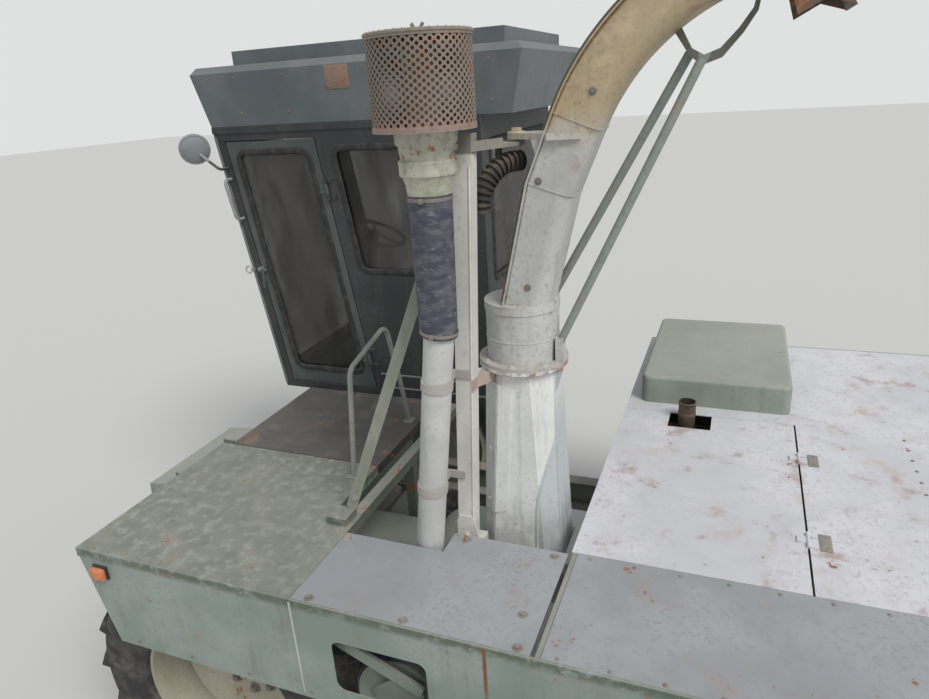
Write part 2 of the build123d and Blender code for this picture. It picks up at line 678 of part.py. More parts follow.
# Ribbed rubber elbow hung below the post's arm
rib_count = 12
rib_bend_r = 140.0
rib_r = 36.0
rib_root_r = 26.0
rib_wall = 6.0
hose_way = Vector(0.814, -0.581, 0)
hose_top = Vector(tower_x, tower_y, arm_z - 55) + hose_way * 20
hose_axis = Axis(hose_top - Vector(0, 0, rib_bend_r), (0.581, 0.814, 0))
hose_run = 34.0
hanger = hose_top + hose_way * 60
with BuildPart() as ribbed_elbow:
    with BuildSketch(Plane(origin=hose_top, z_dir=hose_way)):
        Circle(rib_root_r)
        Circle(rib_root_r - rib_wall, mode=Mode.SUBTRACT)
    revolve(axis=hose_axis, revolution_arc=97)
    with BuildSketch(Plane(origin=hose_top, z_dir=-hose_way)):
        Circle(rib_root_r)
        Circle(rib_root_r - rib_wall, mode=Mode.SUBTRACT)
    extrude(amount=hose_run)
    for rib in range(rib_count):
        turn = radians(2 + 93 * rib / (rib_count - 1))
        spot = hose_axis.position + (hose_way * sin(turn) + Vector(0, 0, cos(turn))) * rib_bend_r
        with BuildSketch(Plane(origin=spot, z_dir=hose_way * cos(turn) - Vector(0, 0, sin(turn)))):
            Circle(rib_r)
            Circle(rib_root_r - 1, mode=Mode.SUBTRACT)
        extrude(amount=4.5, both=True)
    for back in (15.0, 30.0):
        with BuildSketch(Plane(origin=hose_top - hose_way * back, z_dir=hose_way)):
            Circle(rib_r)
            Circle(rib_root_r - 1, mode=Mode.SUBTRACT)
        extrude(amount=4.5, both=True)
    slab((hanger.X - 14, hanger.X + 14), (hanger.Y - 8, hanger.Y + 8), (hanger.Z + 12, arm_z - seat_gap))
save(ribbed_elbow.part, "ribbed_elbow")

# Air intake: leaning pipe, rubber sleeve, neck and round screen with a lid
foot = Vector(*pipe_foot)
lean = (Vector(*pipe_head) - foot).normalized()
head = Vector(*pipe_head)
clamp_zs = (1690.0, 2120.0)
neck_y = head.Y
with BuildPart() as intake_pipe:
    rod(foot, head, pipe_r)
    for z in clamp_zs:
        clamp = foot + lean * ((z - foot.Z) / lean.Z)
        rod(clamp - lean * 16, clamp + lean * 16, pipe_r + 5)
        slab((post_x + post_d / 2 + seat_gap, clamp.X - 20), (clamp.Y + 20, clamp.Y + 28), (z - 16, z + 16))
        slab((post_x + post_d / 2 + seat_gap, post_x + post_d / 2 + 8 + seat_gap),
             (clamp.Y + 20, clamp.Y + 90), (z - 16, z + 16))
save(intake_pipe.part, "intake_pipe")

with BuildPart() as intake_sleeve:
    low = head - lean * 60
    with BuildSketch(Plane(origin=low, z_dir=lean)):
        Circle(sleeve_r)
    with BuildSketch(Plane(origin=(head.X, neck_y, neck_low))):
        Circle(sleeve_r + 6)
    loft()
    rod(low, (head + lean * seat_gap), pipe_r + seat_gap, mode=Mode.SUBTRACT)
save(intake_sleeve.part, "intake_sleeve")

with BuildPart() as intake_screen:
    with BuildSketch(Plane(origin=(head.X, neck_y, 0), x_dir=(1, 0, 0), z_dir=(0, -1, 0))):
        with BuildLine():
            Polyline((0, neck_low + seat_gap), (72, neck_low + seat_gap), (84, neck_low + 60),
                     (92, neck_low + 64), (92, neck_low + 96), (84, neck_low + 100), (100, basket_low - 12),
                     (basket_r, basket_low), (basket_r, basket_top - 14),
                     (basket_r + 4, basket_top - 14), (basket_r + 4, basket_top), (0, basket_top),
                     close=True)
        make_face()
        with BuildLine():
            Polyline((0, basket_low + 4), (basket_r - basket_wall, basket_low + 4),
                     (basket_r - basket_wall, basket_top - 4), (0, basket_top - 4), close=True)
        make_face(mode=Mode.SUBTRACT)
    revolve(axis=Axis((head.X, neck_y, 0), (0, 0, 1)))
    for row in range(screen_rows):
        with Locations((head.X, neck_y, basket_low + screen_edge + screen_pitch * row)):
            with PolarLocations(basket_r, screen_holes, start_angle=180 / screen_holes * (row % 2)):
                Box(30, screen_hole, screen_hole, rotation=(45, 0, 0), mode=Mode.SUBTRACT)
    slab((post_x + post_d / 2 + seat_gap, head.X - 40), (neck_y + 42, neck_y + 62),
         (basket_low - 70, basket_low - 50))
save(intake_screen.part, "intake_screen")

# Left front fender: deck sheet over the wheel and outer skirt with a slanted front
fender_in = 560.0
fender_step = -815.0
with BuildPart() as left_fender:
    slab((fender_in, deck_inner), (fender_front, fender_step), (deck_z - sheet, deck_z))
    slab((deck_inner, half_width), (fender_front, seam_front - 1), (deck_z - sheet, deck_z))
    slab((fender_in, deck_inner), (fender_step - sheet, fender_step), (deck_z - 45, deck_z))
    side_plate([(fender_front, deck_z), (seam_front - 1, deck_z), (seam_front - 1, skirt_low),
                (fender_front + 114, skirt_low)], half_width - sheet, sheet)
    slab((fender_in, half_width), (fender_front, fender_front + sheet), (deck_z - 40, deck_z))
    slab((deck_inner, deck_inner + 90), (seam_front - 110, seam_front - 20), (deck_z, deck_z + 34))
save(left_fender.part, "left_fender")

# Right front fender below the cab
with BuildPart() as right_fender:
    side_plate([(fender_front, deck_z), (seam_front - 1, deck_z), (seam_front - 1, skirt_low),
                (fender_front + 114, skirt_low)], -half_width, sheet)
    slab((-half_width, cab_right - 1), (fender_front, seam_front - 1), (deck_z - sheet, deck_z))
save(right_fender.part, "right_fender")

# Left panels: belt cover with a rounded window, and the long panel behind it
window_ys = (-536.0, -167.0)
window_zs = (1085.0, 1308.0)
panel_top = deck_z - sheet - seat_gap
with BuildPart() as left_belt_panel:
    side_plate([(seam_front + 1, panel_top), (seam_rear - 1, panel_top), (seam_rear - 1, skirt_low),
                (seam_front + 1, skirt_low)], half_width - sheet, sheet)
    with BuildSketch(Plane.YZ.offset(half_width - sheet)):
        with Locations((sum(window_ys) / 2, sum(window_zs) / 2)):
            RectangleRounded(window_ys[1] - window_ys[0], window_zs[1] - window_zs[0], 35)
    extrude(amount=sheet, mode=Mode.SUBTRACT)
save(left_belt_panel.part, "left_belt_panel")

with BuildPart() as left_rear_panel:
    side_plate([(seam_rear + 1, panel_top), (hood_rear - sheet - 1, panel_top),
                (hood_rear - sheet - 1, skirt_low), (seam_rear + 1, skirt_low)], half_width - sheet, sheet)
save(left_rear_panel.part, "left_rear_panel")

with BuildPart() as right_panel:
    side_plate([(hood_front, panel_top), (hood_rear - sheet - 1, panel_top),
                (hood_rear - sheet - 1, skirt_low), (hood_front, skirt_low)], -half_width, sheet)
save(right_panel.part, "right_panel")

# Rear panel with a row of cooling slots
slot_count = 9
with BuildPart() as rear_panel:
    slab((-half_width, half_width), (hood_rear - sheet, hood_rear), (skirt_low - 60, panel_top))
    with BuildSketch(Plane.XZ.offset(-hood_rear)):
        for row in range(slot_count):
            with Locations((0, skirt_low + 60 + 36 * row)):
                Rectangle(1300, 16)
    extrude(amount=sheet, mode=Mode.SUBTRACT)
save(rear_panel.part, "rear_panel")

# Left deck plates beside the tower and along the hood
notch_x = 1066.0
notch_y = -262.0
with BuildPart() as deck_plates:
    with BuildSketch(Plane.XY.offset(deck_z - sheet)):
        with BuildLine():
            Polyline((notch_x, seam_front + 1), (half_width, seam_front + 1), (half_width, deck_rear),
                     (deck_inner, deck_rear), (deck_inner, notch_y), (notch_x, notch_y), close=True)
        make_face()
    extrude(amount=sheet)
    slab((lid_inner + 2, half_width), (hood_front + 25, hood_rear), (deck_z - sheet, deck_z))
save(deck_plates.part, "deck_plates")

# Fixed hood: rear plates around the lid, raised cooler box and short exhaust
box_x = -450.0
box_ys = (270.0, 1010.0)
box_top = 1600.0
exhaust_x = -300.0
exhaust_y = 520.0
exhaust_r = 42.0
lid_gap = 8.0
hinge_xs = (0.0, 620.0)
hood_hinge_y = lid_rear + lid_gap / 2
hood_hinge_z = deck_z + 7
hood_hinge_half = 45.0
hood_eye_half = 21.0
hood_eye_r = 6.0
hood_pin_r = 3.0
with BuildPart() as hood_plates:
    slab((lid_far, lid_inner), (lid_rear + lid_gap, hood_rear), (deck_z - sheet, deck_z))
    slab((-half_width, lid_far), (hood_front, hood_rear), (deck_z - sheet, deck_z))
    for x in hinge_xs:
        rod((x - hood_hinge_half, hood_hinge_y, hood_hinge_z),
            (x + hood_hinge_half, hood_hinge_y, hood_hinge_z), hood_pin_r)
        for side in (-1, 1):
            rod((x + side * hood_eye_half, hood_hinge_y, hood_hinge_z),
                (x + side * hood_hinge_half, hood_hinge_y, hood_hinge_z), hood_eye_r)
            slab((x + side * hood_eye_half, x + side * hood_hinge_half), (hood_hinge_y, lid_rear + 38),
                 (deck_z, hood_hinge_z))
save(hood_plates.part, "hood_plates")

with BuildPart() as cooler_box:
    slab((-half_width + 20, box_x), box_ys, (deck_z + seat_gap, box_top))
    fillet(cooler_box.edges().filter_by(Axis.Z), 40)
    fillet(cooler_box.faces().sort_by(Axis.Z)[-1].edges(), 18)
save(cooler_box.part, "cooler_box")

with BuildPart() as exhaust_pipe:
    rod((exhaust_x, exhaust_y, engine_top - 95), (exhaust_x, exhaust_y, deck_z + 95), exhaust_r)
    rod((exhaust_x, exhaust_y, engine_top - 52), (exhaust_x, engine_front - seat_gap, engine_top - 52),
        exhaust_r)
    rod((exhaust_x, exhaust_y, deck_z - 20), (exhaust_x, exhaust_y, deck_z + 95), exhaust_r - sheet,
        mode=Mode.SUBTRACT)
save(exhaust_pipe.part, "exhaust_pipe")

# Hood lid: flat plate with a turned edge and a notch for the exhaust
notch_ys = (436.0, 640.0)
notch_in = -190.0
with BuildPart() as hood_lid:
    slab((lid_far + 3, lid_inner - 1), (hood_front, lid_rear), (deck_z - sheet, deck_z))
    slab((lid_far + 2, notch_in), notch_ys, (deck_z - sheet, deck_z), mode=Mode.SUBTRACT)
    slab((lid_far + 3, lid_inner - 1), (hood_front, hood_front + sheet), (deck_z - 28, deck_z))
    for x in hinge_xs:
        eye = hood_eye_half - 1
        slab((x - eye, x + eye), (lid_rear - 34, lid_rear + 2), (deck_z, hood_hinge_z))
        rod((x - eye, hood_hinge_y, hood_hinge_z), (x + eye, hood_hinge_y, hood_hinge_z), hood_eye_r)
        rod((x - eye, hood_hinge_y, hood_hinge_z), (x + eye, hood_hinge_y, hood_hinge_z),
            hood_pin_r + pin_gap, mode=Mode.SUBTRACT)
save(hood_lid.part, "hood_lid")

# Belt drive inside the left panels: two pulleys, the belt, and an outer bearing plate with its brace
pulley_x = half_width - 145
pulley_w = 110.0
bearing_x = pulley_x + pulley_w / 2 + 16
bearing_t = 10.0
drive = (engine_y, blower_z, 178.0)
driven = (blower_y, blower_z, 178.0)
with BuildPart() as belt_drive:
    for y, z, r in (drive, driven):
        rod((pulley_x - pulley_w / 2, y, z), (pulley_x + pulley_w / 2, y, z), r)
        rod(((engine_half if y > 0 else blower_out) + seat_gap, y, z), (bearing_x + 4, y, z), 32)
    side_plate([(blower_y - 99, 1058), (blower_y - 60, 900), (blower_y + 90, 930), (blower_y + 110, 1090),
                (blower_y + 20, 1150)], bearing_x, bearing_t)
    brace_x = bearing_x + bearing_t + 6
    flat_bar((brace_x, blower_y - 270, 1278), (brace_x, blower_y + 110, 1112), 14, 48, (1, 0, 0))
save(belt_drive.part, "belt_drive")

with BuildPart() as drive_belt:
    with BuildSketch(Plane.YZ.offset(pulley_x - pulley_w / 2 + 8)):
        with Locations(((drive[0] + driven[0]) / 2, (drive[1] + driven[1]) / 2)):
            SlotCenterToCenter(drive[0] - driven[0], 2 * driven[2] + 26)
            SlotCenterToCenter(drive[0] - driven[0], 2 * (driven[2] + seat_gap), mode=Mode.SUBTRACT)
    extrude(amount=pulley_w - 16)
save(drive_belt.part, "drive_belt")

# Platform outside the cab door, with a front ladder
step_zs = (420.0, 700.0, 980.0, 1240.0)
rail_plane_y = -875.0
platform_left = 555.0
platform_rear = -815.0
with BuildPart() as platform:
    slab((cab_left + 1, platform_left), (-1665, platform_rear), (deck_z - sheet, deck_z))
    slab((cab_left + 1, platform_left), (platform_rear - sheet, platform_rear), (deck_z - 45, deck_z))
save(platform.part, "platform")

with BuildPart() as handrail:
    bent_tube([(675, rail_plane_y, deck_z + 3), (600, rail_plane_y, 1955), (236, rail_plane_y, 2044),
               (141, rail_plane_y, 1711), (85, rail_plane_y, deck_z + 3)], 12, 60)
    for x in (675, 85):
        slab((x - 25, x + 25), (rail_plane_y - 25, rail_plane_y + 25), (deck_z + seat_gap, deck_z + 6))
save(handrail.part, "handrail")

# Ladder in front of the platform, hung below the first deck beam
with BuildPart() as ladder:
    for x in (440, 800):
        slab((x - 6, x + 6), (-1830, -1780), (step_zs[0] - 30, beam_top - beam - seat_gap))
        slab((x - 6, x + 6), (-1800, -1625), (deck_z - 110, beam_top - beam - seat_gap))
    for z in step_zs:
        slab((440, 800), (-1840, -1770), (z - 25, z))
save(ladder.part, "ladder")

# Cab shell: leaning box with its door opening and windows cut out
floor_t = 40.0
gutter_h = 32.0
gutter_out = 8.0
win_r = 60.0


def cab_outline(front, rear, low, high):
    """Y, Z corners of a cab section between a leaning front line and an upright rear."""
    return [(lean_y(front, low), low), (rear, low), (rear, high), (lean_y(front, high), high)]


def leaning_pane(front, rear, low, high):
    """Corners between two leaning lines, both given at the cab's floor."""
    return [(lean_y(front, low), low), (lean_y(rear, low), low), (lean_y(rear, high), high),
            (lean_y(front, high), high)]


seat_x = -820.0
seat_y = -960.0
seat_top = 1930.0
seat_t = 110.0
door_low = cab_floor_z + floor_t
hinge_zs = (1680.0, 2640.0)
hinge_r = 9.0
hinge_pin_r = 4.0
hinge_out = 10.0


def hinge_point(z):
    """Point on the door's leaning hinge line."""
    return Vector(cab_left + hinge_out, lean_y(door_rear_low + 3, z), z)


door_high = 2905.0
door_front = cab_front_low + post_face
screen_low = 1560.0
side_win = (-1105.0, -560.0, 2195.0, 2850.0)
with BuildPart() as cab_shell:
    side_plate(cab_outline(cab_front_low, cab_rear, cab_floor_z - sheet, cab_roof_z), cab_right,
               cab_left - cab_right)
    side_plate(cab_outline(cab_front_low + cab_wall, cab_rear - cab_wall, door_low, cab_roof_z - cab_wall),
               cab_right + cab_wall, cab_left - cab_right - 2 * cab_wall, mode=Mode.SUBTRACT)
    side_plate(leaning_pane(door_front, door_rear_low, door_low, door_high), cab_left - cab_wall, cab_wall,
               mode=Mode.SUBTRACT)
    slab((cab_left - 1, cab_left + gutter_out), (lean_y(cab_front_low, cab_roof_z - 20), cab_rear),
         (cab_roof_z - 4 - gutter_h, cab_roof_z - 4))
    for wall_x in (cab_right, cab_left - cab_wall):
        side_plate([(side_win[0] - 110, side_win[2]), (side_win[1], side_win[2]), (side_win[1], side_win[3]),
                    (side_win[0] - 205, side_win[3])], wall_x, cab_wall, mode=Mode.SUBTRACT, corner=win_r)
    side_plate(leaning_pane(door_front, door_rear_low - 40, 1800, 2850), cab_right, cab_wall,
               mode=Mode.SUBTRACT, corner=win_r)
    slab((cab_right + post_face, cab_left - post_face), (cab_front_low - 400, cab_front_low + 80),
         (screen_low, 2890), mode=Mode.SUBTRACT)
    slab((cab_right + 120, cab_left - 120), (cab_rear - cab_wall, cab_rear), (2150, 2850),
         mode=Mode.SUBTRACT)
    slab((seat_x - 150, seat_x + 150), (seat_y - 150, seat_y + 150),
         (door_low - 1, seat_top - seat_t - seat_gap))
    for z in hinge_zs:
        rod(hinge_point(z - 60), hinge_point(z + 60), hinge_pin_r)
        for low in (-60, 32):
            rod(hinge_point(z + low), hinge_point(z + low + 28), hinge_r)
            middle = hinge_point(z + low + 14)
            slab((cab_left - 1, cab_left + 6), (middle.Y, middle.Y + 44), (z + low + 2, z + low + 26))
save(cab_shell.part, "cab_shell")

# Cab windows
glass_t = 5.0
glass_in = 12.0
fit = 0.3
with BuildPart() as cab_glass:
    side_plate([(lean_y(cab_front_low + glass_in, screen_low + fit), screen_low + fit),
                (lean_y(cab_front_low + glass_in + glass_t, screen_low + fit), screen_low + fit),
                (lean_y(cab_front_low + glass_in + glass_t, 2890 - fit), 2890 - fit),
                (lean_y(cab_front_low + glass_in, 2890 - fit), 2890 - fit)],
               cab_right + post_face + fit, cab_left - cab_right - 2 * post_face - 2 * fit)
    for wall_x in (cab_right + glass_in, cab_left - glass_in - glass_t):
        side_plate([(side_win[0] - 110 + fit, side_win[2] + fit), (side_win[1] - fit, side_win[2] + fit),
                    (side_win[1] - fit, side_win[3] - fit), (side_win[0] - 205 + fit, side_win[3] - fit)],
                   wall_x, glass_t, corner=win_r)
    side_plate(leaning_pane(door_front + fit, door_rear_low - 40 - fit, 1800 + fit, 2850 - fit),
               cab_right + glass_in, glass_t, corner=win_r)
    slab((cab_right + 120 + fit, cab_left - 120 - fit), (cab_rear - glass_in - glass_t, cab_rear - glass_in),
         (2150 + fit, 2850 - fit))
save(cab_glass.part, "cab_glass")

# Cab roof: fascia that flares outwards, and a flat box on top
roof_front = lean_y(cab_front_low, cab_roof_z)
roof_rear = -320.0
with BuildPart() as cab_roof:
    mid = ((cab_left + cab_right) / 2, (roof_front + roof_rear) / 2)
    wide = cab_left - cab_right
    deep = roof_rear - roof_front
    with BuildSketch(Plane.XY.offset(cab_roof_z)):
        with Locations(mid):
            Rectangle(wide, deep)
    with BuildSketch(Plane.XY.offset(roof_top_z)):
        with Locations(mid):
            Rectangle(wide + 2 * roof_flare - 80, deep + 2 * roof_flare)
    loft()
    chamfer(cab_roof.faces().sort_by(Axis.Z)[-1].edges(), roof_bevel)
    slab((cab_right + 110, cab_left - 110), (roof_front + 130, roof_rear - 60),
         (roof_top_z, roof_top_z + 75))
save(cab_roof.part, "cab_roof")

# Cab door: frame with a large tapered window, hinged at its leaning rear edge
door_gap = 6.0
door_t = 26.0
door_frame = 62.0
latch_z = 2175.0
with BuildPart() as cab_door:
    side_plate(leaning_pane(door_front + door_gap, door_rear_low - door_gap, door_low + door_gap,
                            door_high - door_gap), cab_left - door_t, door_t)
    side_plate(leaning_pane(door_front + door_frame, door_rear_low - door_frame, door_low + 95,
                            door_high - door_frame), cab_left - door_t, door_t, mode=Mode.SUBTRACT,
               corner=win_r)
    for z in hinge_zs:
        middle = hinge_point(z)
        slab((cab_left - 1, cab_left + 6), (middle.Y - 46, middle.Y - 12), (z - 26, z + 26))
        slab((cab_left + 1, cab_left + 6), (middle.Y - 13, middle.Y), (z - 26, z + 26))
        rod(hinge_point(z - 29), hinge_point(z + 29), hinge_r)
        rod(hinge_point(z - 30), hinge_point(z + 30), hinge_pin_r + seat_gap, mode=Mode.SUBTRACT)
    latch_y = lean_y(door_front + 30, latch_z)
    rod((cab_left - 2, latch_y, latch_z), (cab_left + 34, latch_y, latch_z), 11)
    rod((cab_left + 28, latch_y, latch_z + 12), (cab_left + 28, latch_y - 6, latch_z - 95), 8)
save(cab_door.part, "cab_door")

with BuildPart() as door_glass:
    side_plate(leaning_pane(door_front + door_frame + fit, door_rear_low - door_frame - fit,
                            door_low + 95 + fit, door_high - door_frame - fit),
               cab_left - glass_in - glass_t, glass_t, corner=win_r)
save(door_glass.part, "door_glass")

# Seat, and the steering column with its wheel
with BuildPart() as seat:
    slab((seat_x - 230, seat_x + 230), (seat_y - 220, seat_y + 220), (seat_top - seat_t, seat_top))
    slab((seat_x - 220, seat_x + 220), (seat_y + 220 + seat_gap, seat_y + 320),
         (seat_top - 60, seat_top + 470))
save(seat.part, "seat")

wheel_c = (-820.0, -1470.0, 2270.0)
column_lift = 7.2
with BuildPart() as steering_column:
    rod((seat_x, -1640, door_low + column_lift), wheel_c, 32)
    with Locations(Plane(origin=wheel_c, z_dir=(0, 0.35, 0.94))):
        Torus(195, 13)
        Cylinder(40, 24)
        for spoke in (0, 120, 240):
            with Locations(Location((0, 0, 0), (0, 0, spoke))):
                Box(200, 22, 10, align=(Align.MIN, Align.CENTER, Align.CENTER))
save(steering_column.part, "steering_column")

# Mirror on its arm, and the grab rail on the front post
with BuildPart() as mirror:
    bent_tube([(cab_left + seat_gap, -1998, 2760), (cab_left + 70, -1998, 2760),
               (cab_left + 110, -2110, 2870)], 8, 30)
    rod((cab_left + 100, -2120, 2880), (cab_left + 118, -2102, 2872), 82)
    bent_tube([(cab_left + seat_gap, -1990, 2700), (cab_left + 60, -1990, 2700),
               (cab_left + 60, -1950, 2480), (cab_left + seat_gap, -1950, 2480)], 9, 30)
save(mirror.part, "mirror")

# Side lamps on both fenders
lamp_y = -1602.0
lamp_z = 1361.0
with BuildPart() as lamps:
    for side in (-1, 1):
        slab((side * (half_width + seat_gap), side * (half_width + 32)), (lamp_y - 38, lamp_y + 38),
             (lamp_z - 30, lamp_z + 30))
save(lamps.part, "lamps")
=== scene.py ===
from math import cos, pi, radians, sin

import bmesh
import bpy
from mathutils import Matrix, Vector


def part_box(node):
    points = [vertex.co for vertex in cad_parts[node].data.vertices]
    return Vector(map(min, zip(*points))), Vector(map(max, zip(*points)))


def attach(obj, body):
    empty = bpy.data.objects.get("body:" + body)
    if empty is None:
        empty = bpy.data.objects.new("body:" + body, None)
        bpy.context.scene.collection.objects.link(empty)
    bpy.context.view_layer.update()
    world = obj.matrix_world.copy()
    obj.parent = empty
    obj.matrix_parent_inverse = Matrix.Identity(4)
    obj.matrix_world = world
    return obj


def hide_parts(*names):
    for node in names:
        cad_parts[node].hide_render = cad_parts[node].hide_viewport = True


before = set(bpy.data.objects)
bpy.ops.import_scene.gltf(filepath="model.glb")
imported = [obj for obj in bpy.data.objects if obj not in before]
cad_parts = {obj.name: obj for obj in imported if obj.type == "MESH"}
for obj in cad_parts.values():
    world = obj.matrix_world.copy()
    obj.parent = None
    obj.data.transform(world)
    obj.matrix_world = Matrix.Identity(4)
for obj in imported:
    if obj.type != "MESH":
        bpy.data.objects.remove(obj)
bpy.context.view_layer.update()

# Camera
# Stands behind the left rear corner, above the deck, and looks down to the front right.
# Lens, tilt and roll are those of the photograph.
eye = Vector((3.047, 0.700, 3.100))
yaw, pitch, roll = radians(22.5), radians(20.72), radians(3.72)
film_width, focal_pixels, picture_pixels = 36.0, 690.0, 929.0
upward = Vector((0, 0, 1))
look = Vector((-cos(yaw), -sin(yaw), 0)) * cos(pitch) - upward * sin(pitch)
level_right = look.cross(upward).normalized()
level_up = level_right.cross(look)
camera_up = level_up * cos(roll) + level_right * sin(roll)
camera_turn = Matrix((look.cross(camera_up), camera_up, -look)).transposed().to_4x4()
camera_data = bpy.data.cameras.new("camera")
camera_data.sensor_width = film_width
camera_data.lens = film_width * focal_pixels / picture_pixels
camera_data.clip_end = 200.0
camera = bpy.data.objects.new("camera", camera_data)
camera.matrix_world = Matrix.Translation(eye) @ camera_turn
bpy.context.scene.collection.objects.link(camera)
bpy.context.scene.camera = camera

# Floor and studio light
# A wide pale floor, an even pale sky and one large soft lamp from high behind the camera. The
# camera, the mirror and the glass see a plain backdrop in place of the sky that gives the light.
bpy.context.scene.view_settings.view_transform = "Standard"
floor_mesh = bpy.data.meshes.new("floor")
floor_shape = bmesh.new()
bmesh.ops.create_grid(floor_shape, x_segments=1, y_segments=1, size=60.0)
floor_shape.to_mesh(floor_mesh)
floor_shape.free()
floor = bpy.data.objects.new("floor", floor_mesh)
bpy.context.scene.collection.objects.link(floor)
floor_paint = bpy.data.materials.new("floor_paint")
floor_paint.use_nodes = True
floor_face = floor_paint.node_tree.nodes["Principled BSDF"]
floor_face.inputs["Base Color"].default_value = (0.55, 0.55, 0.53, 1)
floor_face.inputs["Roughness"].default_value = 0.9
floor_mesh.materials.append(floor_paint)

sky = bpy.data.worlds.new("sky")
bpy.context.scene.world = sky
sky.use_nodes = True
links, nodes = sky.node_tree.links, sky.node_tree.nodes
nodes.clear()
ray = nodes.new("ShaderNodeLightPath")
seen = ray.outputs["Is Camera Ray"]
for kind in ("Is Glossy Ray", "Is Transmission Ray"):
    either = nodes.new("ShaderNodeMath")
    either.operation = "MAXIMUM"
    links.new(seen, either.inputs[0])
    links.new(ray.outputs[kind], either.inputs[1])
    seen = either.outputs[0]
pick = nodes.new("ShaderNodeMixShader")
links.new(seen, pick.inputs[0])
for entry, tint, strength in ((1, (0.93, 0.96, 1.0, 1), 0.62), (2, (0.74, 0.75, 0.75, 1), 1.0)):
    shade = nodes.new("ShaderNodeBackground")
    shade.inputs["Color"].default_value = tint
    shade.inputs["Strength"].default_value = strength
    links.new(shade.outputs[0], pick.inputs[entry])
links.new(pick.outputs[0], nodes.new("ShaderNodeOutputWorld").inputs["Surface"])


def standing(centre, along):
    """The place at centre whose Z points along a direction."""
    return Matrix.Translation(centre) @ Vector(along).to_track_quat("Z", "Y").to_matrix().to_4x4()


lamp_data = bpy.data.lights.new("key", "SUN")
lamp_data.energy = 2.1
lamp_data.angle = radians(25)
lamp_data.color = (1.0, 0.97, 0.93)
lamp = bpy.data.objects.new("key", lamp_data)
lamp.matrix_world = standing((4, 4, 9), (0.50, 0.72, 0.95))
bpy.context.scene.collection.objects.link(lamp)


# Main frame, axles and steering
# Welded steel channels, tubes and forgings under the deck, painted a dark dull green and
# covered in oil and dust.
class Wire:
    """An output socket whose operators add Math nodes."""

    def __init__(self, socket):
        self.socket = socket

    def node(self, kind, settings, sockets, output=0):
        """Add a node beside this one, set it, feed its sockets and return one output."""
        made = self.socket.id_data.nodes.new(kind)
        for key, value in settings.items():
            setattr(made, key, value)
        for key, value in sockets.items():
            if isinstance(value, Wire):
                self.socket.id_data.links.new(value.socket, made.inputs[key])
            else:
                made.inputs[key].default_value = value
        return Wire(made.outputs[output])

    def math(self, operation, first, second=0.0):
        return self.node("ShaderNodeMath", {"operation": operation}, {0: first, 1: second})

    def __add__(self, other):
        return self.math("ADD", self, other)

    def __sub__(self, other):
        return self.math("SUBTRACT", self, other)

    def __rsub__(self, other):
        return self.math("SUBTRACT", other, self)

    def __mul__(self, other):
        return self.math("MULTIPLY", self, other)

    __radd__ = __add__
    __rmul__ = __mul__

    def part(self, axis):
        """One of these coordinates: 0 for X, 1 for Y, 2 for Z."""
        return self.node("ShaderNodeSeparateXYZ", {}, {0: self}, axis)

    def away(self, point):
        """How far these coordinates are from a point, in metres."""
        return self.node("ShaderNodeVectorMath", {"operation": "DISTANCE"}, {0: self, 1: point}, "Value")

    def off_line(self, start, end):
        """How far these coordinates are from the line through two points, in metres."""
        along = (Vector(end) - Vector(start)).normalized()
        offset = self.node("ShaderNodeVectorMath", {"operation": "SUBTRACT"}, {0: self, 1: start})
        crossed = self.node("ShaderNodeVectorMath", {"operation": "CROSS_PRODUCT"}, {0: offset, 1: along})
        return self.node("ShaderNodeVectorMath", {"operation": "LENGTH"}, {0: crossed}, "Value")

    def step(self, low, high):
        """0 below low, 1 above high, smooth between."""
        return self.node("ShaderNodeMapRange", {"interpolation_type": "SMOOTHSTEP"},
                         {"Value": self, "From Min": low, "From Max": high})

    def near(self, value, inner, outer):
        """1 within inner of a value, 0 beyond outer."""
        return 1 - self.math("ABSOLUTE", self - value).step(inner, outer)

    def spots(self, size, detail=5.0, stretch=(1, 1, 1)):
        """Noise over these coordinates, its spots about this size in metres."""
        spread = self.node("ShaderNodeVectorMath", {"operation": "MULTIPLY"},
                           {0: self, 1: [1 / (size * s) for s in stretch]})
        return self.node("ShaderNodeTexNoise", {}, {"Vector": spread, "Scale": 1.0, "Detail": detail,
                                                    "Roughness": 0.62})

    def blend(self, first, second):
        """A colour between two others, by this mask."""
        return self.node("ShaderNodeMix", {"data_type": "RGBA"}, {0: self, 6: first, 7: second}, 2)


def colour(red, green, blue):
    return (red, green, blue, 1.0)


def new_finish(name):
    """A new material with its place on the piece, in metres."""
    finish = bpy.data.materials.new(name)
    finish.use_nodes = True
    finish.node_tree.nodes.clear()
    place = finish.node_tree.nodes.new("ShaderNodeTexCoord")
    return finish, Wire(place.outputs["Object"])


def close_finish(place, tint, roughness, metallic=0.0, bump=None, height=0.002, **others):
    """The shader and output of a material; others are more of the shader's sockets, by name."""
    sockets = {"Base Color": tint, "Roughness": roughness, "Metallic": metallic, **others}
    if bump:
        sockets["Normal"] = place.node("ShaderNodeBump", {}, {"Height": bump, "Strength": 0.6,
                                                              "Distance": height})
    shader = place.node("ShaderNodeBsdfPrincipled", {}, sockets)
    tree = place.socket.id_data
    tree.links.new(shader.socket, tree.nodes.new("ShaderNodeOutputMaterial").inputs["Surface"])


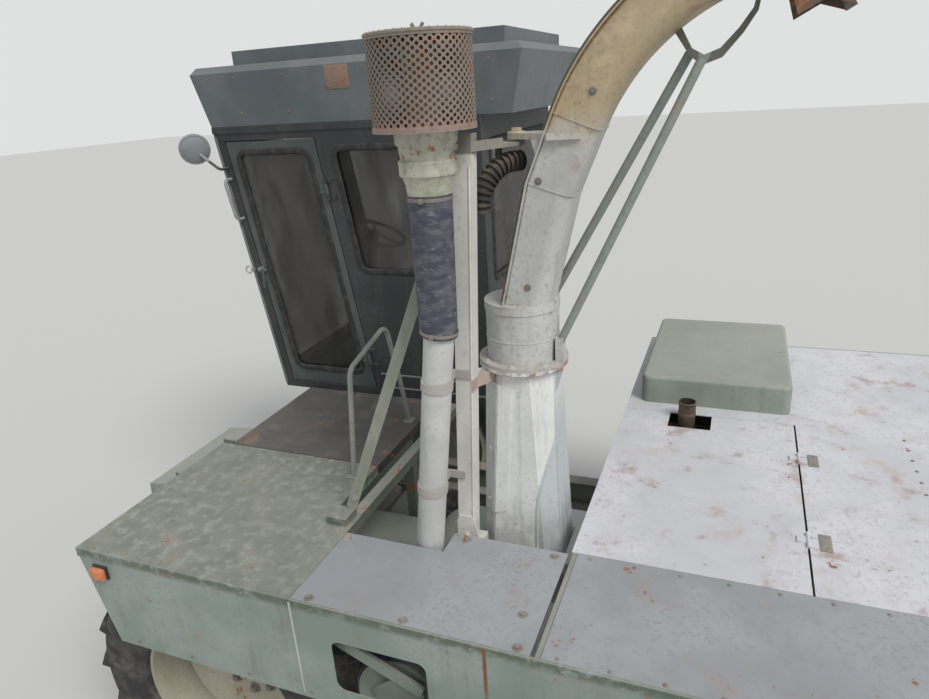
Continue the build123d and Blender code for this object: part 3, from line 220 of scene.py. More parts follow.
def old_paint(name, paint, faded, rust=0.5, dust=0.5, grime=0.5, blush=0.0, streaks=0.5, patches=()):
    """Brushed farm paint after years outdoors: faded, stained, dusty on top and rusting through.

    Each patch is a function from the place on the piece to a mask, and the colour it shows.
    """
    finish, place = new_finish(name)
    up = place.node("ShaderNodeNewGeometry", {}, {}, "Normal").part(2)
    wide = place.spots(0.55, 3.0)
    middle = place.spots(0.13, 6.0)
    fine = place.spots(0.018, 6.0)
    tint = wide.step(0.38, 0.62).blend(paint, faded)
    for make_mask, shown in patches:
        tint = make_mask(place).blend(tint, shown)
    stained = middle.step(0.45, 0.75) * 0.3
    tint = stained.blend(tint, colour(*[channel * 0.72 for channel in paint[:3]]))
    washed = place.spots(0.05, 4.0, (1, 1, 14)).step(0.5, 0.78) * 0.5 * streaks * (1 - up * up)
    tint = washed.blend(tint, colour(0.10, 0.10, 0.085))
    if blush:
        pink = place.spots(0.21, 6.0).step(0.54, 0.66) * middle.step(0.42, 0.6) * blush
        tint = pink.blend(tint, colour(0.36, 0.23, 0.19))
    grimy = fine.step(0.50, 0.72) * wide.step(0.3, 0.7) * 0.8 * grime
    tint = grimy.blend(tint, colour(0.11, 0.105, 0.09))
    settled = up.step(0.45, 0.95) * (0.65 + middle.step(0.3, 0.7) * 0.35) * dust
    tint = settled.blend(tint, colour(0.36, 0.345, 0.31))
    rust_from = 0.665 - 0.085 * rust
    eaten = (middle * 0.6 + fine * 0.4).step(rust_from, rust_from + 0.035)
    brown = fine.step(0.35, 0.65).blend(colour(0.13, 0.055, 0.03), colour(0.33, 0.15, 0.075))
    tint = eaten.blend(tint, brown)
    relief = fine * 0.5 + middle * 0.6 + wide * 1.5 - eaten * 0.4
    close_finish(place, tint, 0.52 + eaten * 0.35 + settled * 0.3 + fine * 0.12, bump=relief, height=0.0018)
    return finish


def dress(finish, *names):
    """Give CAD nodes this finish."""
    for name in names:
        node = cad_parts[name]
        node.data.materials.clear()
        node.data.materials.append(finish)


frame_paint = old_paint("frame_paint", colour(0.10, 0.125, 0.10), colour(0.16, 0.18, 0.145),
                        rust=0.9, dust=0.8, grime=0.9)
dress(frame_paint, "main_frame", "deck_beams", "front_axle", "rear_axle", "knuckle_left", "knuckle_right",
      "ladder")

# Bare and oily steel
# Turned or forged parts that rub or run in oil, dark with a dull shine.
dark_steel, place = new_finish("dark_steel")
film = place.spots(0.06, 5.0)
grain = place.spots(0.008, 5.0)
tint = film.step(0.4, 0.65).blend(colour(0.055, 0.05, 0.045), colour(0.14, 0.10, 0.075))
close_finish(place, tint, 0.38 + grain * 0.4, metallic=0.6, bump=grain, height=0.001)
dress(dark_steel, "tie_rod", "feed_roll_lower", "feed_roll_upper", "exhaust_pipe")


# Engine
# One cast block, oily and dusty, with a dark sheet tray beside it that keeps the dust out.
def dusty_finish(name, clean, dusty, spots, rough, rougher, grain=(0.003, 4.0), height=0.001,
                 edge=(0.4, 0.7), metallic=0.0):
    """An unpainted surface with dust in soft spots, which also dull it, and a fine grain.

    Spots and grain are the size and detail of a noise, and edge is where a spot starts and ends.
    """
    finish, place = new_finish(name)
    film = place.spots(*spots)
    close_finish(place, film.step(*edge).blend(clean, dusty), rough + film * rougher, metallic,
                 bump=place.spots(*grain) if grain else None, height=height)
    return finish


engine_iron = dusty_finish("engine_iron", colour(0.075, 0.08, 0.075), colour(0.15, 0.13, 0.11), (0.12, 6.0),
                           0.6, 0.3, grain=(0.006, 4.0), height=0.0015, edge=(0.4, 0.65), metallic=0.3)
dress(engine_iron, "engine_block")


def add_piece(name, shape, finish, body, stands_for=()):
    """Turn a finished bmesh into a piece that rides on a body, in place of CAD nodes if named."""
    bmesh.ops.recalc_face_normals(shape, faces=shape.faces[:])
    for face in shape.faces:
        face.smooth = True
    for edge in shape.edges:
        edge.smooth = len(edge.link_faces) == 2 and abs(edge.calc_face_angle(0)) < radians(34)
    mesh = bpy.data.meshes.new(name)
    shape.to_mesh(mesh)
    shape.free()
    mesh.materials.append(finish)
    piece = bpy.data.objects.new(name, mesh)
    bpy.context.scene.collection.objects.link(piece)
    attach(piece, body)
    if stands_for:
        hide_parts(*stands_for)
    return piece


def edges_of(verts):
    """The edges at these vertices, each once and always in the same order."""
    return list(dict.fromkeys(edge for vert in verts for edge in vert.link_edges))


def round_edges(shape, edges, offset):
    bmesh.ops.bevel(shape, geom=edges, offset=offset, offset_type="OFFSET", segments=2, profile=0.5,
                    affect="EDGES", material=-1)


def bar(shape, low, high, soft=0.0015, turn=Matrix()):
    """A rectangular bar or plate between two corners, turned about its middle, its edges rounded."""
    low, high = Vector(low), Vector(high)
    stand = Matrix.Translation((low + high) / 2) @ turn @ Matrix.Diagonal((*(high - low), 1))
    made = bmesh.ops.create_cube(shape, size=1.0, matrix=stand)
    round_edges(shape, edges_of(made["verts"]), soft)


tray_near, tray_far, tray_sheet = Vector((-0.960, 0.290, 1.296)), Vector((-0.416, 1.070, 1.360)), 0.003
tray = bmesh.new()
bar(tray, tray_near, (tray_far.x, tray_far.y, tray_near.z + 0.004), 0.001)
for axis in (0, 1):
    for wall_at in (tray_near[axis], tray_far[axis] - tray_sheet):
        wall_low, wall_high = tray_near.copy(), tray_far.copy()
        wall_low[axis], wall_high[axis] = wall_at, wall_at + tray_sheet
        bar(tray, wall_low, wall_high, 0.001)
add_piece("engine_side_tray", tray, dark_steel, "root")


# Wheels
# Cross-ply tyres with worn, bevelled lugs and ribbed side walls, on pressed steel rims held by
# a ring of nuts. The whole wheel is dusty, and the rims rust from their edges.
def turned(shape, profile, steps, base, axis=(0, 0, 1), out=(1, 0, 0)):
    """Turn a closed profile of radius and height about an axis that stands on base."""
    base, axis, out = Vector(base), Vector(axis), Vector(out)
    ring = [shape.verts.new(base + out * radius + axis * height) for radius, height in profile]
    edges = [shape.edges.new(pair) for pair in zip(ring, ring[1:] + ring[:1])]
    bmesh.ops.spin(shape, geom=ring + edges, cent=base, axis=axis, angle=2 * pi, steps=steps,
                   use_merge=True)


def take_in(shape, other):
    """Move the whole of another bmesh into this one."""
    spare = bpy.data.meshes.new("spare")
    other.to_mesh(spare)
    other.free()
    shape.from_mesh(spare)
    bpy.data.meshes.remove(spare)


def repeat_round(shape, count, axis):
    """Copy a shape round an axis through the origin until there are this many."""
    bmesh.ops.spin(shape, geom=shape.verts[:] + shape.edges[:] + shape.faces[:], cent=(0, 0, 0), axis=axis,
                   angle=2 * pi * (1 - 1 / count), steps=count - 1, use_duplicate=True)


def hexagon(shape, centre, along, across, height, turn=0.0):
    """A nut or bolt head on a washer, seated at centre and standing along a direction."""
    stand = standing(centre, along) @ Matrix.Rotation(turn, 4, "Z")
    for radius, thick, sides in ((across * 0.95, height * 0.25, 16), (across * 0.577, height, 6)):
        bmesh.ops.create_cone(shape, cap_ends=True, segments=sides, radius1=radius, radius2=radius * 0.94,
                              depth=thick, matrix=stand @ Matrix.Translation((0, 0, thick / 2)))


def circle(count, radius, start=0.0):
    """The offsets of points round a circle; start is a share of the step between them."""
    angles = [2 * pi * (number + start) / count for number in range(count)]
    return [(radius * cos(angle), radius * sin(angle)) for angle in angles]


tyre_rubber = dusty_finish("tyre_rubber", colour(0.028, 0.028, 0.03), colour(0.105, 0.098, 0.088),
                           (0.09, 6.0), 0.82, 0.1, grain=(0.004, 4.0), edge=(0.38, 0.68))
rim_paint = old_paint("rim_paint", colour(0.34, 0.32, 0.24), colour(0.42, 0.40, 0.32), rust=0.9, dust=0.6)
dress(rim_paint, "front_rim_left", "front_rim_right", "rear_rim_left", "rear_rim_right")
bare_bolt = old_paint("bare_bolt", colour(0.16, 0.15, 0.13), colour(0.24, 0.22, 0.19), rust=1.2, dust=0.3)
# Half of a tyre's section, from its bead over two ribs to its tread, as shares of the tyre's
# width and of its side wall's height.
half_section = ((0.40, 0.0), (0.435, 0.03), (0.45, 0.10), (0.478, 0.22), (0.495, 0.36), (0.494, 0.44),
                (0.500, 0.46), (0.500, 0.52), (0.493, 0.54), (0.492, 0.66), (0.497, 0.68), (0.494, 0.76),
                (0.478, 0.88), (0.44, 0.965), (0.34, 0.99), (0.17, 1.0))


def lug_row(row, lean, outer, width, wall, lug_height, lug_wide, lug_count):
    """One side's lugs, each a bevelled block that is bent over the tread and its shoulder."""
    lug = bmesh.new()
    long = 0.504 * width / cos(lean)
    bmesh.ops.create_cube(lug, size=1.0, matrix=Matrix.Diagonal((long, lug_wide, lug_height * 2, 1)))
    lengthwise = [edge for edge in lug.edges if abs((edge.verts[0].co - edge.verts[1].co).x) > long / 2]
    bmesh.ops.subdivide_edges(lug, cuts=5, use_grid_fill=True, edges=lengthwise)
    for vert in lug.verts:
        if vert.co.z > 0:
            vert.co.y *= 0.76
    round_edges(lug, [edge for edge in lug.edges if edge.calc_face_angle(0) > 0.6], 0.004)
    bmesh.ops.rotate(lug, verts=lug.verts, cent=(0, 0, 0), matrix=Matrix.Rotation(lean * row, 3, "Z"))
    tread = outer - lug_height
    half_width = 0.499 * width
    first = pi * (1 + row) / (2 * lug_count) + pi / lug_count
    for vert in lug.verts:
        across = max(-half_width, min(half_width, vert.co.x + row * 0.225 * width))
        drop = 0.10 * wall * max(0.0, abs(across) / width - 0.36) / 0.14
        reach = min(tread + vert.co.z - drop, outer)
        angle = vert.co.y / tread + first
        vert.co = (across, reach * sin(angle), -reach * cos(angle))
    repeat_round(lug, lug_count, (1, 0, 0))
    return lug


def wheels(end, hub_x, hub_y, outer, width, rim, lug_height, lug_wide, lug_count, lean, nut_ring):
    """The tyres and the rim nuts of one axle; outer and rim are radii, lean is the lugs' angle."""
    wall = outer - lug_height - rim
    half = [(rim + high * wall, wide * width) for wide, high in half_section]
    section = half + [(radius, -aside) for radius, aside in reversed(half)]
    for tag, side in (("left", 1), ("right", -1)):
        body = f"{end}_wheel_{tag}"
        tyre = bmesh.new()
        turned(tyre, section, 96, (0, 0, 0), axis=(1, 0, 0), out=(0, 0, 1))
        for row in (-1, 1):
            take_in(tyre, lug_row(row, side * lean, outer, width, wall, lug_height, lug_wide, lug_count))
        bmesh.ops.translate(tyre, verts=tyre.verts, vec=(side * hub_x, hub_y, outer))
        add_piece(f"{end}_tyre_{tag}_tread", tyre, tyre_rubber, body, [f"{end}_tyre_{tag}"])
        nuts = bmesh.new()
        for along, up in circle(8, nut_ring):
            hexagon(nuts, (side * (hub_x - 0.0357), hub_y + along, outer + up), (side, 0, 0), 0.030, 0.022)
        add_piece(f"{end}_nuts_{tag}", nuts, bare_bolt, body)


wheels("front", hub_x=1.195, hub_y=-1.250, outer=0.670, width=0.420, rim=0.390, lug_height=0.032,
       lug_wide=0.046, lug_count=18, lean=radians(38), nut_ring=0.132)
wheels("rear", hub_x=1.080, hub_y=1.380, outer=0.470, width=0.300, rim=0.235, lug_height=0.016,
       lug_wide=0.044, lug_count=14, lean=0.0, nut_ring=0.082)

# Crop path
# Feed, chopper and blower housings of welded sheet, bolted to each other along their flanges.
body_paint = old_paint("body_paint", colour(0.215, 0.265, 0.215), colour(0.30, 0.345, 0.295), rust=0.5,
                       dust=0.55, blush=0.2)
dress(body_paint, "feed_housing", "chopper_housing", "blower_housing", "cooler_box")
chopper_top, feed_side, blower_side = 1.0806, 0.3803, 0.8003
blower_y, blower_z = -0.330, 1.0
housing_bolts = bmesh.new()
for x in (-0.30, -0.10, 0.10, 0.30):
    hexagon(housing_bolts, (x, -1.79, chopper_top), (0, 0, 1), 0.022, 0.012)
for side in (-1, 1):
    for y in (-2.50, -2.30, -2.10):
        hexagon(housing_bolts, (side * feed_side, y, 0.440), (side, 0, 0), 0.022, 0.012)
for along, up in circle(8, 0.215, start=0.5):
    hexagon(housing_bolts, (blower_side, blower_y + along, blower_z + up), (1, 0, 0), 0.020, 0.010)
add_piece("housing_bolts", housing_bolts, bare_bolt, "root")

# Belt drive
# Two cast pulleys with a wide rubber belt, and an outer bearing plate on a slanted brace.
rubber_black = dusty_finish("rubber_black", colour(0.03, 0.032, 0.042), colour(0.10, 0.10, 0.115),
                            (0.05, 6.0), 0.75, 0.15)
dress(rubber_black, "drive_belt")
drive_paint = old_paint("drive_paint", colour(0.20, 0.24, 0.20), colour(0.27, 0.30, 0.26), rust=0.8, dust=0.6)
dress(drive_paint, "belt_drive")

# Fenders and side panels
# Folded steel sheet in grey green, brushed over more than once and held by pan-head screws. The
# green is scraped dark along the deck's edge, and the seams are rusty.
side_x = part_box("left_rear_panel")[1].x
rear_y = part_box("rear_panel")[1].y
deck_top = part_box("deck_plates")[1].z


def dome(shape, centre, along, radius, height):
    """A rivet, screw head or plug that stands on a face, in two tapered steps."""
    stand = standing(centre, along)
    for low, share, base, top in ((0.0, 0.55, 1.0, 0.92), (0.55, 0.45, 0.92, 0.6)):
        bmesh.ops.create_cone(shape, cap_ends=True, segments=16, radius1=radius * base, radius2=radius * top,
                              depth=height * share,
                              matrix=stand @ Matrix.Translation((0, 0, height * (low + share / 2))))


def scraped_edge(place):
    return place.part(2).step(1.400, 1.432) * place.spots(0.05, 5.0).step(0.30, 0.55)


def rusty_seam(place):
    """The joint between the two left panels behind the fender."""
    on_left = place.part(0).step(1.3, 1.4)
    return place.part(1).near(0.047, 0.004, 0.011) * on_left * place.spots(0.06, 4.0).step(0.36, 0.5)


panel_paint = old_paint(
    "panel_paint", colour(0.205, 0.26, 0.225), colour(0.285, 0.335, 0.31), rust=0.55, dust=0.5, blush=0.25,
    patches=((scraped_edge, colour(0.105, 0.135, 0.095)), (rusty_seam, colour(0.23, 0.105, 0.055))))
dress(panel_paint, "left_fender", "right_fender", "left_belt_panel", "left_rear_panel", "right_panel",
      "rear_panel")
upper_row, lower_row, screw_radius, screw_height = 1.424, 1.030, 0.008, 0.004
upper_screws = (-1.58, -1.24, -0.90, 0.30, 0.75, 1.20, 1.65, 2.10)
lower_screws = (-1.50, -1.22, -0.94, 0.45, 1.10, 1.75, 2.30)
belt_panel_screws = ((upper_row, (-0.60, -0.30, 0.0)), (lower_row, (-0.655, -0.50, -0.20, 0.015)))
screws = bmesh.new()
for side, rows in ((-1, ()), (1, belt_panel_screws)):
    for z, row in ((upper_row, upper_screws), (lower_row, lower_screws)) + rows:
        for y in row:
            dome(screws, (side * side_x, y, z), (side, 0, 0), screw_radius, screw_height)
for number in range(-3, 4):
    dome(screws, (0.45 * number, rear_y, upper_row), (0, 1, 0), screw_radius, screw_height)
add_piece("panel_screws", screws, bare_bolt, "root")
seam = bmesh.new()
bar(seam, (side_x - 0.0005, -0.6915, 1.020), (side_x + 0.0025, -0.6835, 1.440), 0.0010)
pale_strip = old_paint("pale_strip", colour(0.42, 0.45, 0.43), colour(0.50, 0.53, 0.50), rust=0.8, dust=0.3)
add_piece("fender_seam_strip", seam, pale_strip, "root")

# Deck and hood
# Sheet plates that people walk on. The deck is grey where the paint has worn, with the blue cast of
# the sky light on its top painted into that grey, and the hood has faded almost to white, with pink and
# orange rust coming through.
# Painted light: the blue in the deck's grey is the cast of the sky light on its top, painted into the colour.
deck_paint = old_paint("deck_paint", colour(0.265, 0.285, 0.31), colour(0.325, 0.345, 0.37), rust=0.6,
                       dust=0.15, blush=0.35)
dress(deck_paint, "deck_plates")


def worn_through(place):
    return place.spots(0.30, 6.0).step(0.58, 0.72)


hood_paint = old_paint("hood_paint", colour(0.56, 0.565, 0.605), colour(0.645, 0.645, 0.69), rust=0.55,
                       dust=0.12, blush=0.75, patches=((worn_through, colour(0.54, 0.45, 0.40)),))
dress(hood_paint, "hood_plates", "hood_lid")
deck_bolts = bmesh.new()
for x, y in ((1.30, 0.125), (1.445, -0.62), (1.445, -0.25), (1.445, 0.15), (0.975, 0.15), (0.975, -0.20)):
    hexagon(deck_bolts, (x, y, deck_top), (0, 0, 1), 0.019, 0.008, turn=x * 7)
rivets = [(-0.30 + 0.094 * number, 1.484) for number in range(13)]
rivets += [(x, 0.28 + 0.16 * number) for x in (0.955, 1.452) for number in range(14)]
rivets += [(1.452, y) for y in (-1.64, -1.30, -0.96, -0.74)]
for x, y in rivets:
    dome(deck_bolts, (x, y, deck_top), (0, 0, 1), 0.0075, 0.0035)
add_piece("deck_bolts", deck_bolts, bare_bolt, "root")


def sweep(shape, path, wide, high, out=None, sides=8, closed=False):
    """An oval rod along a path, this wide across it and this high along out."""
    path = [Vector(point) for point in path]
    rings, upright = [], Vector(out) if out else None
    for number, point in enumerate(path):
        ahead = path[(number + 1) % len(path)] if closed or number < len(path) - 1 else point
        behind = path[number - 1] if closed or number else point
        along = (ahead - behind).normalized()
        if upright is None:
            upright = along.orthogonal()
        across = along.cross(upright).normalized()
        rise = across.cross(along)
        if not out:
            upright = rise
        stand = Matrix((across * wide / 2, rise * high / 2, along)).transposed().to_4x4()
        stand.translation = point
        made = bmesh.ops.create_circle(shape, cap_ends=not closed and number in (0, len(path) - 1),
                                       segments=sides, radius=1.0, matrix=stand)
        rings.append(edges_of(made["verts"]))
    for first, second in zip(rings, rings[1:] + (rings[:1] if closed else [])):
        bmesh.ops.bridge_loops(shape, edges=first + second)


def rounded(points, radius, closed=False, steps=5):
    """This path with an arc at each corner."""
    points = [Vector(point) for point in points]
    path = [] if closed else [points[0]]
    befores, afters = points[-1:] + points[:-1], points[1:] + points[:1]
    corners = list(zip(befores, points, afters))
    for before, corner, after in corners if closed else corners[1:-1]:
        start = corner + (before - corner).normalized() * radius
        end = corner + (after - corner).normalized() * radius
        path += [start.lerp(corner, t / steps).lerp(corner.lerp(end, t / steps), t / steps)
                 for t in range(steps + 1)]
    return path if closed else path + [points[-1]]


roll_set_in, roll_wide = 0.0055, 0.014
roll_x, roll_y, roll_z = side_x - roll_set_in, rear_y - roll_set_in, deck_top - roll_set_in
edges = [[(side * roll_x, y, roll_z) for y in ends]
         for side, ends in ((1, (-1.715, -0.692)), (1, (-0.682, 2.415)), (-1, (-1.715, -0.692)),
                            (-1, (0.209, 2.415)))]
edges.append([(x, roll_y, roll_z) for x in (-1.465, 1.465)])
rolls = bmesh.new()
for path in edges:
    sweep(rolls, path, roll_wide, roll_wide, sides=16)
add_piece("deck_edge_rolls", rolls, panel_paint, "root")
strap_top = deck_top + 0.0035
straps = bmesh.new()
for x in (0.0, 0.620):
    bar(straps, (x - 0.052, 1.062, deck_top), (x + 0.052, 1.104, strap_top), 0.001)
    for side in (-1, 1):
        dome(straps, (x + side * 0.036, 1.088, strap_top), (0, 0, 1), 0.006, 0.003)
add_piece("hinge_straps", straps, bare_bolt, "root")

# Platform and handrail
# The platform's sheet is almost black with trodden dirt, and the rail is a bent tube in old grey
# green that is welded to it.
platform_paint = old_paint("platform_paint", colour(0.036, 0.033, 0.033), colour(0.056, 0.050, 0.047),
                           rust=0.9, dust=0.25, blush=0.3)
dress(platform_paint, "platform")
rail_paint = old_paint("rail_paint", colour(0.22, 0.235, 0.205), colour(0.33, 0.36, 0.32), rust=0.6, dust=0.2,
                       streaks=0.8)
dress(rail_paint, "handrail")

# Discharge tower
# A folded eight-sided duct, paler than the body, and its paint is made paler still as painted light for the
# strong light that falls on it. A cover plate wraps one front corner, and a welded bead runs down where the
# rear sheets meet, which are of a bluer grey.
tower_x, tower_y, tower_low, tower_tall = 0.650, -0.045, 1.245, 0.851
primer_red = colour(0.33, 0.19, 0.15)


def rear_sheets(place):
    return (place.part(1) + place.part(2).step(1.55, 1.85) * -0.06).step(0.028, 0.040) * 0.8


def sooty_foot(place):
    return (1 - place.part(2).step(1.36, 1.60)) * place.spots(0.12, 5.0).step(0.35, 0.6) * 0.5


def rubbed_top(place):
    return place.part(2).step(2.070, 2.096) * place.spots(0.05, 5.0).step(0.40, 0.62)


# Painted light: the tower's paint is set brighter than the real paint to carry the strong side light on it.
tower_paint_with_light = old_paint(
    "tower_paint_with_light", colour(0.66, 0.67, 0.645), colour(0.74, 0.75, 0.725), rust=0.35, dust=0.25, grime=0.4,
    streaks=1.0, patches=((rear_sheets, colour(0.42, 0.46, 0.49)), (sooty_foot, colour(0.30, 0.31, 0.29)),
                          (rubbed_top, primer_red)))
dress(tower_paint_with_light, "discharge_tower")


def tower_section(height):
    """Half the tower's width, half its depth and the cut of its corners at a height."""
    share = (height - tower_low) / tower_tall
    return [foot + (top - foot) * share for foot, top in ((0.150, 0.134), (0.165, 0.134), (0.055, 0.076))]


def hull(shape, points):
    bmesh.ops.convex_hull(shape, input=[shape.verts.new(point) for point in points])


cover_thick = 0.007
corner_plate, side_plate = [], []
for height, corner_drop, side_rise, reach in ((2.045, 0.0, -0.018, 0.055), (1.478, 0.020, 0.014, 0.088)):
    half_x, half_y, cut = tower_section(height)
    fold = Vector((tower_x + half_x, tower_y - half_y + cut, height))
    ahead = fold - Vector((cut * 0.92, cut * 0.92, corner_drop))
    behind = Vector((fold.x, -reach, height + side_rise))
    for plate, far, out in ((corner_plate, ahead, Vector((0.707, -0.707, 0.02)) * cover_thick),
                            (side_plate, behind, Vector((1, 0, 0)) * cover_thick)):
        plate += [fold, far, fold + out, far + out]
cover = bmesh.new()
hull(cover, corner_plate)
hull(cover, side_plate)
for height in (2.01, 1.75, 1.52):
    half_x, half_y, cut = tower_section(height)
    middle = Vector((tower_x + half_x - cut / 2 + 0.0045, tower_y - half_y + cut / 2 - 0.0045, height))
    dome(cover, middle, (0.707, -0.707, 0), 0.008, 0.005)
add_piece("tower_cover_plate", cover, tower_paint_with_light, "root")

bead = bmesh.new()
sweep(bead, [(0.7983, 0.032, 1.300), (0.7975, 0.033, 1.380), (0.7955, 0.035, 1.490), (0.7940, 0.040, 1.560),
             (0.7850, 0.050, 1.600), (0.7656, 0.0652, 1.673), (0.7470, 0.0790, 1.740),
             (0.7300, 0.0925, 1.780), (0.7200, 0.0995, 1.800)], 0.011, 0.011)
for side in (-1, 1):
    sweep(bead, [(tower_x + side * 0.0951, tower_y + 0.1648, 1.252),
                 (tower_x + side * 0.0585, tower_y + 0.1338, 2.092)], 0.007, 0.007)
add_piece("tower_weld_beads", bead, tower_paint_with_light, "root")

# Spout
# Welded sheet duct with a mitre and a curved top, pale grey below, brushed in yellow and brown
# above, and held by two struts under a saddle. Weld beads, plugs and bolts stand out on it.
bow_centre, bow_radius = (0, 0.8761, 2.6911), 0.663
strut_green = colour(0.25, 0.285, 0.26)


def yellowed_top(place):
    return (place.part(2) + place.spots(0.30, 4.0) * 0.3).step(3.02, 3.16)


def blotches(size, low, high):
    """Patches of about this size on the curved top."""
    return lambda place: (place.part(2).step(2.95, 3.05)
                          * place.spots(size, 5.0, (1, 2.2, 1)).step(low, high))


def inside_bow(place):
    flat = place.node("ShaderNodeVectorMath", {"operation": "MULTIPLY"}, {0: place, 1: (0, 1, 1)})
    return 1 - flat.away(bow_centre).step(bow_radius - 0.002, bow_radius + 0.002)


def strut(start, end):
    """The tube between two points."""
    return lambda place: 1 - place.off_line(start, end).step(0.016, 0.018)


def rubbed_ring(place):
    return (1 - place.part(2).step(2.122, 2.128)) * 0.4


spout_paint = old_paint(
    "spout_paint", colour(0.45, 0.455, 0.435), colour(0.54, 0.54, 0.52), rust=0.4, dust=0.15, grime=0.8,
    blush=0.5, patches=((yellowed_top, colour(0.45, 0.36, 0.225)),
                        (blotches(0.10, 0.50, 0.60), colour(0.54, 0.43, 0.27)),
                        (blotches(0.13, 0.56, 0.66), colour(0.40, 0.24, 0.18)),
                        (inside_bow, colour(0.10, 0.095, 0.075)),
                        (strut((0.688, 0.114, 2.205), (0.674, 0.557, 3.141)), strut_green),
                        (strut((0.507, -0.072, 2.118), (0.628, 0.516, 3.158)), strut_green),
                        (rubbed_ring, colour(0.36, 0.28, 0.25))))
dress(spout_paint, "spout")
# The spout's outer cover plate is dark steel, and also painted shade: it is made darker still for the shadow
# it lies in, facing away from the light.
cover_steel_and_shade = old_paint("cover_steel_and_shade", colour(0.075, 0.07, 0.06), colour(0.12, 0.105, 0.085), rust=0.9,
                        dust=0.2)
dress(cover_steel_and_shade, "spout_cover")
section = ((-0.107, -0.078), (-0.107, 0.080), (0.107, 0.080), (0.107, -0.078))
welds = bmesh.new()
for y, z, tilt in ((0.096, 2.760, radians(18)), (0.186, 2.977, radians(22.5))):
    corners = [(tower_x + aside, y + inward * cos(tilt), z - inward * sin(tilt)) for aside, inward in section]
    sweep(welds, rounded(corners, 0.060, steps=8), 0.008, 0.005)
for x, y in circle(8, 0.157):
    hexagon(welds, (tower_x + x, tower_y + y, 2.1243), (0, 0, 1), 0.017, 0.008)
hexagon(welds, (tower_x, tower_y, 2.945), (0, 0, 1), 0.034, 0.016)
turned(welds, ((0.138, 2.208), (0.1405, 2.209), (0.1412, 2.211), (0.1405, 2.213), (0.138, 2.214)), 64,
       (tower_x, tower_y, 0))
spot_way = Vector((cos(radians(64)), sin(radians(64)), 0))
dome(welds, Vector((tower_x, tower_y, 2.228)) + spot_way * 0.1387, spot_way, 0.011, 0.003)
add_piece("spout_welds_and_bolts", welds, spout_paint, "spout")
spout_side = 0.7565
plugs = bmesh.new()
for y, z in ((0.059, 2.793), (0.011, 2.420), (0.241, 3.067)):
    dome(plugs, (spout_side, y, z), (1, 0, 0), 0.0125, 0.003)
    hexagon(plugs, (spout_side + 0.0025, y, z), (1, 0, 0), 0.013, 0.006)
add_piece("spout_plugs", plugs, bare_bolt, "spout")

# Flap
# A rusty folded plate between two cheeks, on a pin at the spout's mouth.
rusty_sheet = old_paint("rusty_sheet", colour(0.085, 0.055, 0.038), colour(0.14, 0.095, 0.065), rust=1.6,
                        dust=0.2, grime=0.8)
dress(rusty_sheet, "spout_flap")


# Post
# A pressed channel, pale and clean, with a flared foot, and a greenish angle-iron brace bolted
# across from the fender. Its pale paint is set brighter than the real paint as painted light for the strong
# light on it.
def post_brace(place):
    return 1 - (place.part(1) - place.part(2) * 0.049).step(-0.346, -0.341)


def post_arm(place):
    return place.part(2).step(2.895, 2.903) * 0.8


def post_stay(place):
    height = place.part(2)
    beside_post = place.part(1).step(-0.180, -0.172)
    return height.step(2.04, 2.052) * (1 - height.step(2.094, 2.1)) * beside_post * 0.7


# Painted light: the post's pale paint is brightened beyond the real paint to carry the strong side light on
# it.
post_paint_with_light = old_paint(
    "post_paint_with_light", colour(0.62, 0.615, 0.57), colour(0.70, 0.69, 0.645), rust=0.4, dust=0.2, grime=0.4,
    patches=((post_brace, colour(0.25, 0.265, 0.215)), (post_arm, colour(0.15, 0.13, 0.10)),
             (post_stay, primer_red)))
dress(post_paint_with_light, "tower_post")
foot_outline = ((-0.298, 1.376), (-0.178, 1.376), (-0.192, 1.45), (-0.205, 1.50), (-0.262, 1.50),
                (-0.282, 1.45))
post_trim = bmesh.new()
hull(post_trim, [(x, y, z) for x in (0.8875, 0.8915) for y, z in foot_outline])
sweep(post_trim, [(0.888, -0.2035, 1.50), (0.888, -0.1370, 2.86)], 0.007, 0.007)
hexagon(post_trim, (0.8915, -0.235, 1.410), (1, 0, 0), 0.019, 0.010)
for y in (-0.285, -0.191):
    hexagon(post_trim, (0.907, y, 1.376), (0, 0, 1), 0.019, 0.010)
brace_low, brace_high = Vector((0.9500, -0.727, 1.486)), Vector((0.8785, -0.1955, 2.830))
brace_way = (brace_high - brace_low).normalized()
brace_wide = brace_way.cross(Vector((1, 0, 0))).normalized()
brace_out = brace_wide.cross(brace_way)
half_wide, half_thick = brace_wide * 0.023, brace_out * 0.0025
hull(post_trim, [end + half_wide * wide + half_thick * thick for end in (brace_low, brace_high)
                 for wide in (-1, 1) for thick in (-1, 1)])
for end in (brace_low + brace_way * 0.05, brace_high - brace_way * 0.035):
    hexagon(post_trim, end + half_thick, brace_out, 0.019, 0.010)
add_piece("post_trim", post_trim, post_paint_with_light, "root")

# Ribbed elbow
# Moulded rubber bellows that lie on the post's arm, with brown dust on the ribs.
elbow_rubber, place = new_finish("elbow_rubber")
dusty = place.spots(0.06, 6.0)
upper_side = place.node("ShaderNodeNewGeometry", {}, {}, "Normal").part(2).step(0.2, 0.9)
tint = dusty.step(0.4, 0.7).blend(colour(0.035, 0.032, 0.03), colour(0.12, 0.095, 0.075))
tint = (upper_side * 0.6).blend(tint, colour(0.17, 0.135, 0.105))
close_finish(place, tint, 0.75 + dusty * 0.15, bump=place.spots(0.004, 4.0), height=0.001)
dress(elbow_rubber, "ribbed_elbow")


# Air pipe and rubber sleeve
# A pale painted steel tube strapped to the post. The sleeve is wound rubber, wrinkled and dusty,
# and a thin band clamps each of its ends.
def pipe_straps(place):
    lower, upper = (place.part(2).near(height, 0.019, 0.022) for height in (1.690, 2.120))
    return (lower + upper) * 0.6


